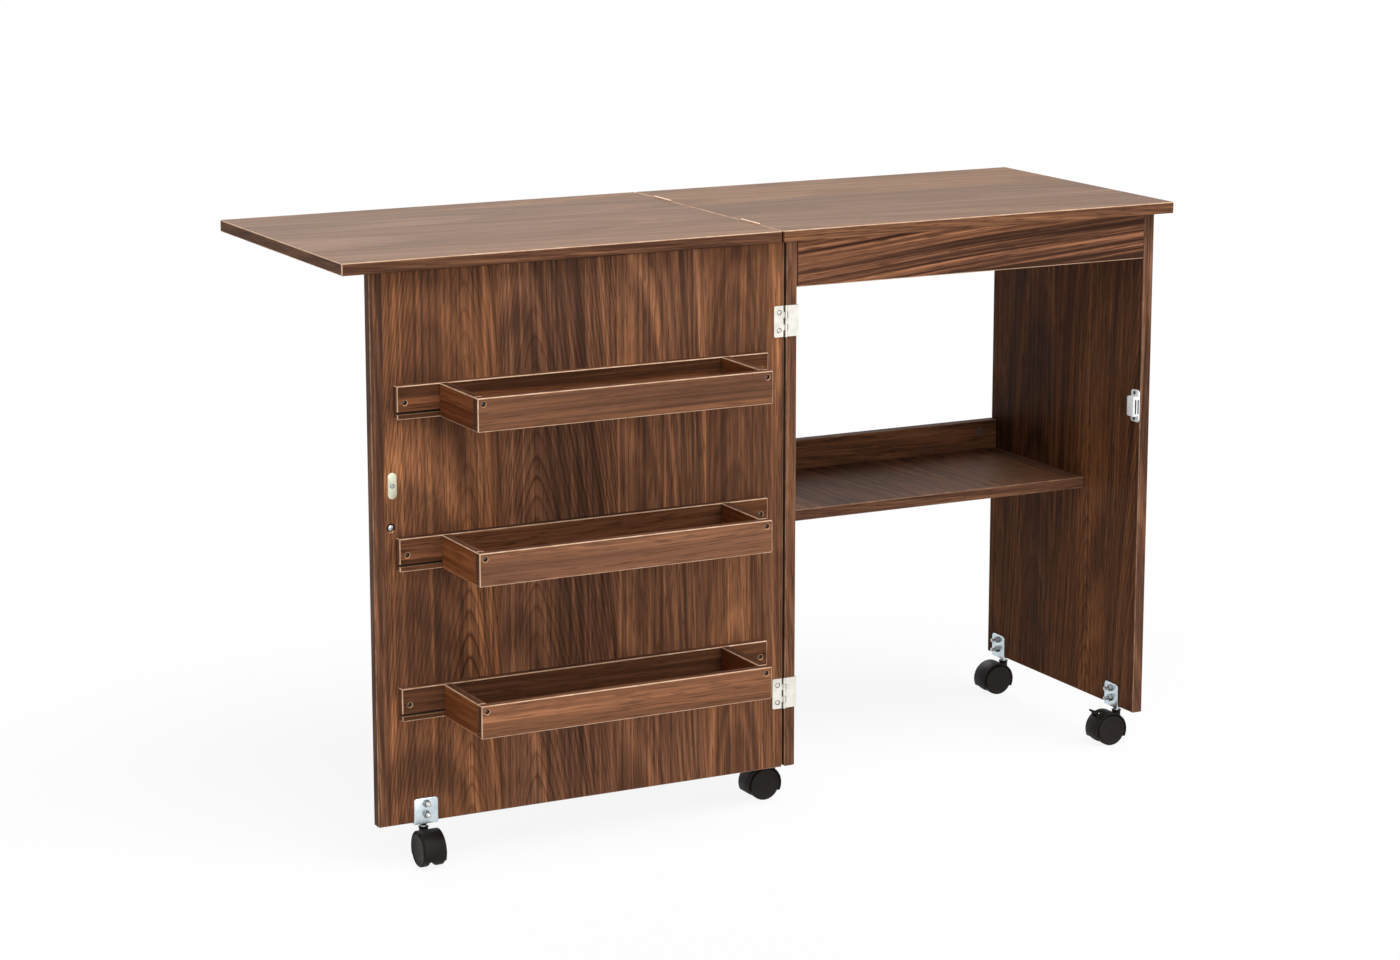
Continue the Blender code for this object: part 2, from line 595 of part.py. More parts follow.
def hood_mesh(with_ears):
    """Moulded hood: a shroud over both wheels, a web between them, and the boss with its riveted stem."""
    outline = arc(HOOD_OUTER, -HOOD_DIP, 180 + HOOD_DIP, FINE)
    hood = slab(outline, HOOD_WIDTH, AXLE_PLACE)
    rivet_bottom = FLANGE_TOP + GAP
    nut_top = FLANGE_BOTTOM - GAP
    nut_bottom = nut_top - NUT_HEIGHT
    boss_top = nut_bottom - STEM_SHOW
    waist_top = boss_top - 2 * BOSS_LIP
    rivet_top = rivet_bottom + RIVET_HEIGHT
    stem_profile = [(0.0, rivet_top), (RIVET_RADIUS, rivet_top), (RIVET_RADIUS, rivet_bottom),
                    (STEM_RADIUS, rivet_bottom), (STEM_RADIUS, nut_top), (NUT_RADIUS, nut_top),
                    (NUT_RADIUS, nut_bottom), (STEM_RADIUS, nut_bottom), (STEM_RADIUS, boss_top),
                    (BOSS_RADIUS, boss_top), (BOSS_RADIUS, boss_top - BOSS_LIP), (BOSS_WAIST, waist_top),
                    (BOSS_WAIST, WHEEL_RADIUS), (0.0, WHEEL_RADIUS)]
    joins = [turned(stem_profile, COARSE)]
    cuts = []
    pocket = HOOD_WIDTH
    for side in (-1, 1):
        middle = side * (WEB + pocket) / 2
        cuts.append(rod(HOOD_INNER, pocket, AXLE_PLACE @ at(0, 0, middle), FINE))
    cuts.append(rod(AXLE_RADIUS + GAP, HOOD_WIDTH, AXLE_PLACE))
    if with_ears:
        ear_inner = LEVER_WIDTH / 2 + GAP
        hinge = lever_place()
        root = -LEVER_STANDOFF - HOOD_WALL
        ear = [(root, -EAR_RADIUS)] + arc(EAR_RADIUS, -90, 90, 10) + [(root, EAR_RADIUS)]
        outward = Matrix.Rotation(math.radians(LEVER_ANGLE), 4, "Z")
        for side in (-1, 1):
            middle = at(0, 0, side * (ear_inner + EAR_WIDTH / 2))
            joins.append(slab(ear, EAR_WIDTH, hinge @ middle @ outward))
        span = LEVER_WIDTH + 2 * EAR_WIDTH
        cuts.append(rod(LEVER_TRUNNION + GAP, 2 * span, hinge))
    return shaped(hood, joins=joins, cuts=cuts)


def wheel_mesh():
    """Two wheels with dished faces on one axle, turned about Z."""
    inner = WHEEL_SPACE / 2
    outer = inner + WHEEL_WIDTH
    hub_inner = WEB / 2 + GAP
    rim = WHEEL_RADIUS - WHEEL_RIM
    tread = WHEEL_RADIUS - WHEEL_ROUND
    half = [(0.0, outer - WHEEL_DISH), (rim - WHEEL_DISH, outer - WHEEL_DISH), (rim, outer), (tread, outer),
            (WHEEL_RADIUS, outer - WHEEL_ROUND), (WHEEL_RADIUS, inner + WHEEL_ROUND), (tread, inner),
            (HUB_RADIUS, inner), (HUB_RADIUS, hub_inner), (AXLE_RADIUS, hub_inner)]
    lower = [(radius, -height) for radius, height in reversed(half)]
    return bake(turned(half + lower))


def bracket_mesh():
    """L bracket: a plate with rounded upper corners on the board's face, and a flange under its edge."""
    half = BRACKET_WIDTH / 2
    face = BOARD / 2 + GAP
    top = CASTER_HEIGHT + BRACKET_RISE
    corner = BRACKET_CORNER
    outline = [(half, FLANGE_BOTTOM)] + arc(corner, 0, 90, 6, (half - corner, top - corner))
    outline += arc(corner, 90, 180, 6, (corner - half, top - corner)) + [(-half, FLANGE_BOTTOM)]
    plate = slab(outline, BRACKET_METAL, at(-face - BRACKET_METAL / 2, 0, 0) @ UPRIGHT)
    flange = block((-face - BRACKET_METAL / 2, -half, FLANGE_BOTTOM), (BOARD / 2, half, FLANGE_TOP))
    hole = rod(STEM_RADIUS + GAP, 4 * BRACKET_METAL, at(0, 0, FLANGE_TOP))
    return shaped(plate, joins=[flange], cuts=[hole])


def lever_place():
    """World-like matrix of the brake lever's pivot in the caster's own frame."""
    angle = math.radians(LEVER_ANGLE)
    radius = HOOD_OUTER + LEVER_STANDOFF
    return AXLE_PLACE @ at(radius * math.cos(angle), radius * math.sin(angle), 0)


def lever_mesh():
    """Brake pedal: a barrel with trunnions in the hood's ears, and a tread that reaches outward."""
    tilt = math.radians(180 - LEVER_TILT)
    barrel = rod(LEVER_BARREL, LEVER_WIDTH, Matrix())
    trunnions = rod(LEVER_TRUNNION, LEVER_WIDTH + 2 * EAR_WIDTH, Matrix())
    tread = [(0, -LEVER_METAL / 2), (LEVER_REACH, -LEVER_METAL / 2)]
    tread += arc(LEVER_METAL / 2, -90, 90, 6, (LEVER_REACH, 0))[1:] + [(0, LEVER_METAL / 2)]
    tongue = slab(tread, LEVER_WIDTH - 2 * GAP, Matrix.Rotation(tilt, 4, "Z"))
    return shaped(barrel, joins=[trunnions, tongue])


def casters(door_axis):
    right_x = RIGHT_INNER + BOARD / 2
    left_x = LEFT_INNER - BOARD / 2
    front_y = FRONT + CASTER_FROM_FRONT
    rear_y = REAR - CASTER_FROM_REAR
    quarter = math.pi / 2
    spots = (
        ("left_front", left_x, front_y, 0.0, 2 * quarter, None, True),
        ("left_rear", left_x, rear_y, 0.0, 2 * quarter, None, False),
        ("right_front", right_x, front_y, 0.0, 0.0, None, True),
        ("right_rear", right_x, rear_y, 0.0, 0.0, None, False),
        ("door", DOOR_FREE + DOOR_CASTER_INSET, FRONT + BOARD / 2, quarter, quarter, door_axis, False),
    )
    hoods = {True: hood_mesh(True), False: hood_mesh(False)}
    wheels = wheel_mesh()
    bracket = bracket_mesh()
    lever = lever_mesh()
    for name, x, y, trail_turn, bracket_turn, carrier, braked in spots:
        spot = at(x, y, 0)
        part(f"{name}_caster_bracket", bracket, "zinc", spot @ Matrix.Rotation(bracket_turn, 4, "Z"), carrier)
        place = spot @ Matrix.Rotation(trail_turn, 4, "Z")
        swivel = pivot(f"{name}_caster_swivel", place, carrier)
        part(f"{name}_caster_hood", hoods[braked], "black_plastic", place, swivel, rounded=True)
        axle = pivot(f"{name}_caster_axle", place @ AXLE_PLACE, swivel)
        part(f"{name}_caster_wheels", wheels, "grey_plastic", place @ AXLE_PLACE, axle, rounded=True)
        if braked:
            hinge = pivot(f"{name}_brake_pivot", place @ lever_place(), swivel)
            part(f"{name}_brake_lever", lever, "black_plastic", place @ lever_place(), hinge, rounded=True)


def main():
    clear_scene()
    door_axis = pivot("door_axis", at(HINGE_LINE, FRONT - PIN_STANDOFF, 0))
    leaf_axis = pivot("leaf_axis", at(0, 0, LEAF_PIN_Z))
    worktop(leaf_axis)
    leaf_hinges(leaf_axis)
    carcass()
    door(door_axis)
    door_hinges(door_axis)
    knob(door_axis)
    strike(door_axis)
    catch()
    for level, drop in BIN_TOPS.items():
        bin_boards(level, drop, door_axis)
    casters(door_axis)


main()
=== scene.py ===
"""Looks of the sewing cabinet: laminate boards, hinges, catch, casters and fasteners on the fixed frame."""
import json
import math

import bmesh
import bpy
from mathutils import Matrix, Vector


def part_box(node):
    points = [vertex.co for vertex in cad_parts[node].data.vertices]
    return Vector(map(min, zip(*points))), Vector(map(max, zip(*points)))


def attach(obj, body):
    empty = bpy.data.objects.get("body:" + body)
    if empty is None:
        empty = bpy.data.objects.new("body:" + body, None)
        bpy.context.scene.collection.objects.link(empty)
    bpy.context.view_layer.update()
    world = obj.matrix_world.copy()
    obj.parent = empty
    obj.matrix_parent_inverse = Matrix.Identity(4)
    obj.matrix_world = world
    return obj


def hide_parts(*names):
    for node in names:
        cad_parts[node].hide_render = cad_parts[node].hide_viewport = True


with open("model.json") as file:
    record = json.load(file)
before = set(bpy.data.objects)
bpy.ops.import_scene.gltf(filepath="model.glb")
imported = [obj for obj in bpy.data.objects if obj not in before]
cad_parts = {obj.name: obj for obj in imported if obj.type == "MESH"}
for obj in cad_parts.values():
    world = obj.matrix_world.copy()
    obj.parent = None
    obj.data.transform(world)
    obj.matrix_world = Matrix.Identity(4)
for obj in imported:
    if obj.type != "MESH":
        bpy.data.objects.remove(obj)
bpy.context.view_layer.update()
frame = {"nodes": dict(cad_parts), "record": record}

X, Y, Z = range(3)
NODES = frame["nodes"]
BODY_OF = {node: body for body, nodes in frame["record"]["behaviour"]["bodies"].items() for node in nodes}
LEVELS = ("upper", "middle", "lower")
CASTERS = ("door", "left_front", "left_rear", "right_front", "right_rear")

# Camera, as the photograph was framed
PHOTO_WIDTH = 1400
SENSOR = 36.0
FOCAL_PIXELS = 3503.0
CAMERA_PLACE = (-2.0849, -3.9581, 1.3791)
CAMERA_YAW = 27.368
CAMERA_PITCH = 11.549
CAMERA_SHIFT = -0.03

# Sizes of what the frame leaves to the looks, in metres
ARRIS_REACH = 0.0011        # worn arrises reach this far from two outer faces
SEAT = 0.0002               # fasteners stand this far off what they hold
HOLE_RADIUS = 0.0030        # sunk screws in the bins
HOLE_DEPTH = 0.0032
HOLE_BREAK = 0.0010         # broken edge of a hole
HOLE_HEAD = 0.0022          # radius of the screw head in it
HOLE_HEAD_HEIGHT = 0.001
FRONT_SCREW_INSET = 0.0075  # bin front: end of the board to screw
FRONT_SCREW_DROP = 0.0075
EAR_SCREW_INSET = 0.010
KNOB_HOLE_RADIUS = 0.0049
KNOB_HOLE_DEPTH = 0.0026
KNOB_SCREW_HEAD = 0.0037    # radius
KNOB_SCREW_HEIGHT = 0.0024
HINGE_METAL = 0.0012
HINGE_CORNER = 0.0018
HINGE_SINK = 0.0034         # radius of a countersink
HINGE_SCREW_INSET = 0.0075  # free edge of a hinge plate to screw
HINGE_SCREW_SPREAD = 0.0115
SUNK_HEAD = 0.76            # a countersunk head as a share of its countersink
SUNK_DROP = 0.0002          # that head below the plate
SINK_LIP = 0.0003           # straight part of a countersink
SINK_CLEAR = 0.0006         # its cutter above the plate
# A black ring of painted shadow lies round each sunk head, this far down
SHADOW_RING_DIP = 0.0002           # dark ring round a sunk head
STRIKE_SINK = 0.0029
STRIKE_ROUND = 0.0005
CATCH_ROUND = 0.0006
POLE_ROUND = 0.0002
CATCH_SCREW_HEAD = 0.0024   # radius
CATCH_SCREW_HEIGHT = 0.0012
CATCH_SCREW_END = 1.7 * CATCH_SCREW_HEAD    # end of the flange to screw
CATCH_SCREW_BACK = 0.001    # screw behind the middle of the flange
CATCH_FLANGE = 0.002
BRACKET_ROUND = 0.0006
BOLT_DROP = 0.007           # top of a bracket to its upper bolt
BOLT_SPACING = 0.014
NUT_RADIUS = 0.0049
NUT_HEIGHT = 0.004
THREAD_RADIUS = 0.0026
THREAD_PITCH = 0.0012
BOLT_REACH = 0.0112
BOLT_POINT = 0.0004         # last thread beyond the bolt's core
BOLT_HEAD = 0.0052
CAM_RADIUS = 0.006
CAM_HEIGHT = 0.0008
CAM_RECESS = 0.001
CAM_INSET = 0.029           # end of a board to the cam lock
CAM_DROP = 0.015            # top of a rail to the cam lock
CAM_DEPTH = 0.05            # edge of the shelf to the cam lock
STEM_LOW = 0.0461           # bare caster stem between boss and nut
STEM_HIGH = 0.0483
CASTER_ROUND = 0.0005

# Mesh work
SMOOTH_ANGLE = 35           # degrees: flatter edges are shaded smooth
SOFTEN_ANGLE = 40           # degrees: sharper edges are rounded
FLAT_ANGLE = 0.5            # degrees: faces this close to level become one
WELD = 0.000005             # points this close become one
FLUSH = 0.0001              # a face this close to a board's outer plane lies in it
ON_EDGE = 0.00002           # a point this close to a plate's free edge is on it
ON_CUT = 0.000001           # a point this close to a scored line is on it
SCORED = 4 * ARRIS_REACH    # thinner boards, such as the bins' floors, aren't scored
SQUARE = 0.99               # cosine: a face this square to an axis is flat
LOOKS_UP = 0.5              # upward share of the normal of a face that looks up


def srgb(red, green, blue):
    """A colour as read off a screen, in linear light."""
    def linear(value):
        share = value / 255
        return share / 12.92 if share <= 0.04045 else ((share + 0.055) / 1.055) ** 2.4
    return (linear(red), linear(green), linear(blue), 1.0)


def tones(*colours):
    """Colours in linear light, from screen colours."""
    return tuple(srgb(*colour) for colour in colours)


# Materials
class Graph:
    """One material and short ways to add shader nodes to it."""

    def __init__(self, name, roughness, metallic=0.0, specular=0.5):
        self.material = bpy.data.materials.new(name)
        self.material.use_nodes = True
        self.tree = self.material.node_tree
        self.shader = self.tree.nodes["Principled BSDF"]
        self.shader.inputs["Roughness"].default_value = roughness
        self.shader.inputs["Metallic"].default_value = metallic
        self.shader.inputs["Specular IOR Level"].default_value = specular

    def add(self, kind, inputs=(), **settings):
        made = self.tree.nodes.new(kind)
        for key, value in settings.items():
            setattr(made, key, value)
        for key, value in dict(inputs).items():
            self.feed(made.inputs[key], value)
        return made

    def feed(self, socket, value):
        if isinstance(value, bpy.types.NodeSocket):
            self.tree.links.new(value, socket)
        else:
            socket.default_value = value

    def place(self):
        return self.add("ShaderNodeTexCoord").outputs["Object"]

    def vector(self, x, y, z):
        return self.add("ShaderNodeCombineXYZ", {0: x, 1: y, 2: z}).outputs[0]

    def parts(self, vector):
        return self.add("ShaderNodeSeparateXYZ", {0: vector}).outputs

    def noise(self, vector, scale, detail=2.0, roughness=0.5):
        stretched = self.add("ShaderNodeVectorMath", {0: vector, 1: scale}, operation="MULTIPLY").outputs[0]
        inputs = {"Vector": stretched, "Scale": 1.0, "Detail": detail, "Roughness": roughness}
        return self.add("ShaderNodeTexNoise", inputs).outputs["Fac"]

    def chances(self, vector):
        """Three chance values of a vector of whole numbers."""
        return self.parts(self.add("ShaderNodeTexWhiteNoise", {"Vector": vector}).outputs["Color"])

    def maths(self, operation, first, second=0.0):
        return self.add("ShaderNodeMath", {0: first, 1: second}, operation=operation).outputs[0]

    def plus(self, *values):
        total = values[0]
        for value in values[1:]:
            total = self.maths("ADD", total, value)
        return total

    def times(self, first, second):
        return self.maths("MULTIPLY", first, second)

    def spread(self, value, low, high, to_low=0.0, to_high=1.0):
        inputs = {"Value": value, "From Min": low, "From Max": high, "To Min": to_low, "To Max": to_high}
        return self.add("ShaderNodeMapRange", inputs).outputs["Result"]

    def ramp(self, factor, stops):
        made = self.add("ShaderNodeValToRGB", {"Fac": factor})
        elements = made.color_ramp.elements
        while len(elements) < len(stops):
            elements.new(0.5)
        for element, (position, colour) in zip(elements, stops):
            element.position = position
            element.color = colour
        return made.outputs["Color"]

    def mix(self, factor, first, second, blend="MIX"):
        made = self.add("ShaderNodeMix", data_type="RGBA", blend_type=blend)
        for socket, value in zip((made.inputs[0], made.inputs[6], made.inputs[7]), (factor, first, second)):
            self.feed(socket, value)
        return made.outputs[2]

    def bump(self, height, strength, distance):
        made = self.add("ShaderNodeBump", {"Height": height, "Strength": strength, "Distance": distance})
        self.feed(self.shader.inputs["Normal"], made.outputs["Normal"])

    def finish(self, colour, roughness=None):
        self.feed(self.shader.inputs["Base Color"], colour)
        if roughness is not None:
            self.feed(self.shader.inputs["Roughness"], roughness)
        return self.material


WHITE = (1.0, 1.0, 1.0, 1.0)
NOISE_RANGE = (0.3, 0.7)    # most of a noise lies in here
CLOUD_RANGE = (0.35, 0.65)  # the same for broad, soft clouds


def even(waves):
    """Noise alike in all directions."""
    return (waves, waves, waves)


# Walnut print. Noise is given in waves per metre across the grain, along it and in depth.
SHEEN = 0.42                # roughness
SHADES = (0.37, 0.445, 0.50, 0.555, 0.63)   # where the five tones lie in the streak noise
RING_STOPS = (0.0, 0.07, 0.22, 0.8, 1.0)    # through one growth ring, from its dark line on
RING_TONES = tones((66, 54, 48), (176, 166, 160), (255, 255, 255), (238, 232, 228), (140, 128, 122))
SLICE = 4.858               # depth between the noise of two faces
STRIP_SLICE = 1.7           # depth between the noise of two strips
PRINT = 5963.0              # choice of strips
FACE_START = 0.37           # strips by which each face starts later
OFF_CENTRE = 0.2            # flames stand this share of a strip off its middle, at most
FLAME_TIP = 0.006           # rounding of a flame's tip, in metres
FLAME_SLOPE = 1.9           # metres along the grain for each metre across it
SWAY = 0.012                # the grain wanders this far to each side, in metres
SWAY_WAVES = (4.0, 1.4, 1.0)
WIDTH_WAVES = (5.0, 1.0, 1.0)
SWIRL_WAVES = (7.0, 1.3, 1.0)
SWIRL_RINGS = 5.0           # growth rings that a swirl moves
RIPPLE_WAVES = (30.0, 4.0, 1.0)
RIPPLE_RINGS = 0.4
START_RINGS = 40.0          # range of a strip's first ring
CROWD_WAVES = 0.3           # waves per ring of their crowding
CROWD_RINGS = 0.9
BROAD_WAVES = (10.0, 0.6, 1.0)
BAND_WAVES = (1.0, 0.6, 1.0)
BAND_PER_RING = 0.3
BAND_SHARE = 0.25           # bands as a share of the narrow streaks
PATCH_WAVES = (7.0, 1.6, 1.0)
PATCH_RANGE = (0.36, 0.54)  # noise from faint rings to fully drawn ones
FAINT_PATCH = 0.3           # strength of the rings between the patches
FLAME_RANGE = (0.35, 0.6)   # chance values from a plain strip to a flamed one
FAINT_RING = 0.35           # weight of the faintest ring
TONE_SPREAD = 0.03          # strips differ in shade by this much at contrast 1
HUE_RED = 0.03              # strips differ in red and blue by these shares
HUE_BLUE = 0.06
PLAIN_FIGURE = 0.12         # strength of the rings in a plain strip
FIBRE_WAVES = (430.0, 4.0, 1.0)
FIBRE_TINT = 0.2
PORE_WAVES = (620.0, 28.0, 1.0)
PORE_RANGE = (0.56, 0.64)   # noise from no pore to a pore
PORE_DARK = 0.6

# Five tones each, from dark to light
WALNUT = tones((70, 48, 37), (92, 62, 46), (116, 78, 56), (138, 93, 66), (174, 119, 82))
WALNUT_SHELF = tones((50, 37, 31), (74, 52, 41), (94, 66, 51), (114, 79, 58), (148, 102, 73))
# Sides and inner rails: a darker print, darkened further as painted shade of the cabinet's inside
WALNUT_SIDE_SHADE = tones((45, 29, 22), (69, 44, 31), (90, 57, 39), (112, 72, 47), (148, 97, 62))
WALNUT_RAIL = tones((62, 41, 31), (96, 64, 47), (126, 84, 61), (152, 102, 73), (190, 133, 95))
WALNUT_BIN = tones((84, 57, 43), (106, 72, 53), (121, 82, 60), (135, 92, 67), (160, 110, 80))
# Bins' back boards: darker tones, painted shade of the bins' insides, which darkens the ears too
WALNUT_BACK_SHADE = tones((58, 36, 23), (76, 48, 32), (89, 56, 37), (102, 65, 43), (128, 82, 56))
WALNUT_END = tones((86, 46, 25), (106, 60, 34), (119, 69, 39), (132, 79, 47), (153, 95, 60))
# Tops: lighter, greyer tones than the panels, a painted sheen in place of the glancing reflection off the
# tops
WALNUT_TOP_SHEEN = tones((114, 86, 66), (125, 95, 73), (133, 101, 79), (141, 107, 84), (153, 118, 93))
WALNUT_BAND = tones((62, 41, 31), (82, 55, 42), (97, 66, 50), (113, 78, 58), (140, 98, 71))


class Veneer:
    """Fields of the walnut print over a board's faces: strips of veneer, and the growth rings in them.

    Reads the corner attribute "grain": metres across the grain, metres along it, and the face's own number.
    """

    def __init__(self, graph, column, arch, bend, lean):
        grain = graph.add("ShaderNodeAttribute", attribute_name="grain").outputs["Vector"]
        across, self.along, own = graph.parts(grain)
        self.own = graph.maths("ROUND", own)
        self.depth = graph.times(self.own, SLICE)
        leaning = graph.plus(across, graph.times(self.along, lean))
        sway = graph.noise(graph.vector(leaning, self.along, self.depth), SWAY_WAVES, detail=1.0)
        self.across = graph.plus(leaning, graph.spread(sway, 0.0, 1.0, -SWAY, SWAY))
        # Strips of uneven width, each from its own log
        uneven = graph.noise(graph.vector(self.across, 0.5, self.depth), WIDTH_WAVES, detail=0.0)
        count = graph.plus(graph.maths("DIVIDE", self.across, column), uneven,
                           graph.times(self.own, FACE_START))
        self.strip = graph.maths("FLOOR", count)
        self.tone, centre, start = graph.chances(graph.vector(self.strip, self.own, PRINT))
        self.flame, self.hue = graph.chances(graph.vector(self.strip, self.own, PRINT + 1.0))[:2]
        log = graph.plus(self.depth, graph.times(self.strip, STRIP_SLICE))
        self.bent = graph.vector(self.across, self.along, log)
        middle = graph.spread(centre, 0.0, 1.0, -OFF_CENTRE, OFF_CENTRE)
        offset = graph.plus(graph.maths("FRACT", count), -0.5, middle)
        self.phase = self.rings(graph, graph.times(offset, column), start, arch, bend)

    def rings(self, graph, side, start, arch, bend):
        """The count of growth rings, which lie as nested flames with steep arms."""
        swirl = graph.noise(self.bent, SWIRL_WAVES, detail=0.0)
        ripple = graph.noise(self.bent, RIPPLE_WAVES, detail=1.0)
        square = graph.times(side, side)
        arms = graph.times(graph.maths("SQRT", graph.plus(square, FLAME_TIP ** 2)), arch * FLAME_SLOPE)
        phase = graph.plus(graph.times(self.along, arch), arms, graph.times(square, bend),
                           graph.times(swirl, SWIRL_RINGS), graph.times(ripple, RIPPLE_RINGS),
                           graph.times(start, START_RINGS))
        spacing = graph.vector(graph.times(phase, CROWD_WAVES), self.strip, self.depth)
        crowd = graph.noise(spacing, even(1.0), detail=0.0)
        return graph.plus(phase, graph.times(crowd, CROWD_RINGS))


def laminate(name, palette, column=0.14, arch=34.0, bend=1500.0, figure=1.0, streak=210.0, contrast=1.2,
             drift=0.5, lean=0.0, specular=0.02):
    """Printed walnut: strips of veneer, plain or with nested flames, streaks, fibres and short pores.

    A strip is about column wide. arch is the rings per metre along the grain, bend curves them to the sides,
    and figure is how strongly they show. streak is the streaks per metre across the grain, contrast and drift
    are their strength and slow change, and lean turns them off the board's axis.
    """
    graph = Graph(name, SHEEN, specular=specular)
    veneer = Veneer(graph, column, arch, bend, lean)
    # Streaks, partly along the rings
    broad = graph.noise(veneer.bent, BROAD_WAVES, detail=1.0)
    bands = graph.plus(graph.times(veneer.phase, BAND_PER_RING),
                       graph.times(veneer.across, streak * BAND_SHARE))
    middle = graph.noise(graph.vector(bands, veneer.along, veneer.depth), BAND_WAVES, detail=2.0)
    narrow = graph.noise(veneer.bent, (streak, 1.0, 1.0), detail=3.0, roughness=0.65)
    swing = graph.plus(graph.times(broad, drift), middle, narrow, -0.5 * (drift + 2.0))
    step = TONE_SPREAD * contrast
    lift = graph.spread(veneer.tone, 0.0, 1.0, -step, step)
    shade = graph.plus(0.5, graph.times(swing, contrast / 3), lift)
    colour = graph.ramp(shade, list(zip(SHADES, palette)))
    red = graph.spread(veneer.hue, 0.0, 1.0, 1 - HUE_RED, 1 + HUE_RED)
    blue = graph.spread(veneer.hue, 0.0, 1.0, 1 + HUE_BLUE, 1 - HUE_BLUE)
    colour = graph.mix(1.0, colour, graph.vector(red, 1.0, blue), "MULTIPLY")
    # Growth rings, drawn in patches and each with its own weight
    weight = graph.chances(graph.vector(graph.maths("FLOOR", veneer.phase), veneer.strip, veneer.own))[0]
    patch = graph.noise(veneer.bent, PATCH_WAVES, detail=1.0)
    drawn = graph.spread(patch, *PATCH_RANGE, FAINT_PATCH, 1.0)
    drawn = graph.times(drawn, graph.spread(veneer.flame, *FLAME_RANGE, PLAIN_FIGURE, figure))
    drawn = graph.times(drawn, graph.spread(weight, 0.0, 1.0, FAINT_RING, 1.0))
    ring = graph.ramp(graph.maths("FRACT", veneer.phase), list(zip(RING_STOPS, RING_TONES)))
    colour = graph.mix(drawn, colour, ring, "MULTIPLY")
    # Fibres and short dark pores
    fibre = graph.noise(veneer.bent, FIBRE_WAVES, detail=3.0, roughness=0.75)
    tint = graph.spread(fibre, *NOISE_RANGE, 1 - FIBRE_TINT, 1 + FIBRE_TINT)
    colour = graph.mix(1.0, colour, graph.vector(tint, tint, tint), "MULTIPLY")
    pore = graph.spread(graph.noise(veneer.bent, PORE_WAVES, detail=1.0), *PORE_RANGE)
    colour = graph.mix(graph.times(pore, PORE_DARK), colour, palette[0])
    graph.bump(graph.maths("SUBTRACT", fibre, pore), strength=0.12, distance=0.0003)
    return graph.finish(colour, graph.spread(fibre, *NOISE_RANGE, SHEEN - 0.05, SHEEN + 0.08))


def worn_edge(name, pale, brown, wear):
    """Arris of a banded board, where the trimmed band shows pale in broken lines."""
    graph = Graph(name, 0.5, specular=0.2)
    patch = graph.noise(graph.place(), even(55.0), detail=3.0, roughness=0.6)
    factor = graph.spread(patch, 0.5 - wear, 0.5 + wear)
    grit = graph.noise(graph.place(), even(900.0), detail=1.0)
    graph.bump(grit, strength=0.1, distance=0.0002)
    return graph.finish(graph.mix(factor, brown, pale), graph.spread(grit, *NOISE_RANGE, 0.42, 0.58))


def board_core(name, dark, light):
    """Sawn fibreboard in grooves and holes; in a near-black tone it is painted shade deep inside them."""
    graph = Graph(name, 0.8, specular=0.2)
    grit = graph.noise(graph.place(), even(700.0))
    graph.bump(grit, strength=0.3, distance=0.0004)
    return graph.finish(graph.ramp(grit, ((0.3, dark), (0.7, light))))


def metal(name, colour, roughness, brushed=(60.0, 60.0, 900.0), depth=0.12):
    """Plated metal with a fine drawn grain and cloudy tone."""
    graph = Graph(name, roughness, 1.0)
    cloud = graph.noise(graph.place(), even(90.0))
    drawn = graph.noise(graph.place(), brushed, roughness=0.6)
    dark = tuple(channel * (1 - depth) for channel in colour[:3]) + (1.0,)
    graph.bump(drawn, strength=0.05, distance=0.0001)
    return graph.finish(graph.mix(graph.spread(cloud, *CLOUD_RANGE), dark, colour),
                        graph.spread(drawn, *NOISE_RANGE, roughness - 0.06, roughness + 0.1))


def plastic(name, colour, roughness, relief=0.08, specular=0.3):
    """Moulded plastic with a fine spark-eroded skin and rubbed patches."""
    graph = Graph(name, roughness, specular=specular)
    skin = graph.noise(graph.place(), even(1400.0))
    rub = graph.noise(graph.place(), even(120.0))
    dull = tuple(channel * 0.86 for channel in colour[:3]) + (1.0,)
    graph.bump(skin, strength=relief, distance=0.0002)
    return graph.finish(graph.mix(graph.spread(rub, *CLOUD_RANGE), dull, colour),
                        graph.spread(rub, *NOISE_RANGE, roughness + 0.08, roughness - 0.05))


PANEL = laminate("walnut_panel", WALNUT)
# Darker walnut, partly painted shade of the cabinet's inside
SIDE_SHADE = laminate("walnut_side_shade", WALNUT_SIDE_SHADE, figure=0.7, contrast=0.85)
SHELF = laminate("walnut_shelf", WALNUT_SHELF, figure=0.3, contrast=0.8)
RAIL = laminate("walnut_rail", WALNUT_RAIL, column=9.0, arch=4.0, bend=0.0, figure=0.3, streak=230.0,
                contrast=2.2, drift=0.2, lean=-0.08)
BIN_PRINT = {"column": 0.1, "arch": 6.0, "bend": 2200.0, "figure": 0.4, "streak": 150.0}
BIN = laminate("walnut_bin", WALNUT_BIN, contrast=1.0, **BIN_PRINT)
# Painted shade: a darker copy of the bin walnut for the back boards, inside the bins
BIN_BACK_SHADE = laminate("walnut_bin_back_shade", WALNUT_BACK_SHADE, **BIN_PRINT)
BIN_END = laminate("walnut_bin_end", WALNUT_END, **BIN_PRINT)
# Painted sheen: pale grey tones and faint rings stand in for the tops' reflection, which their low specular
# level leaves out
TOP_SHEEN = laminate("walnut_top", WALNUT_TOP_SHEEN, figure=0.2, contrast=1.4, specular=0.03)
BAND = laminate("walnut_band", WALNUT_BAND, figure=0.1, streak=420.0, drift=0.2)
ARRIS = worn_edge("worn_arris", srgb(222, 188, 158), srgb(180, 138, 108), 0.2)
DULL_ARRIS = worn_edge("dull_arris", srgb(156, 122, 95), srgb(106, 74, 54), 0.2)
CORE = board_core("board_core", srgb(140, 100, 70), srgb(196, 155, 118))
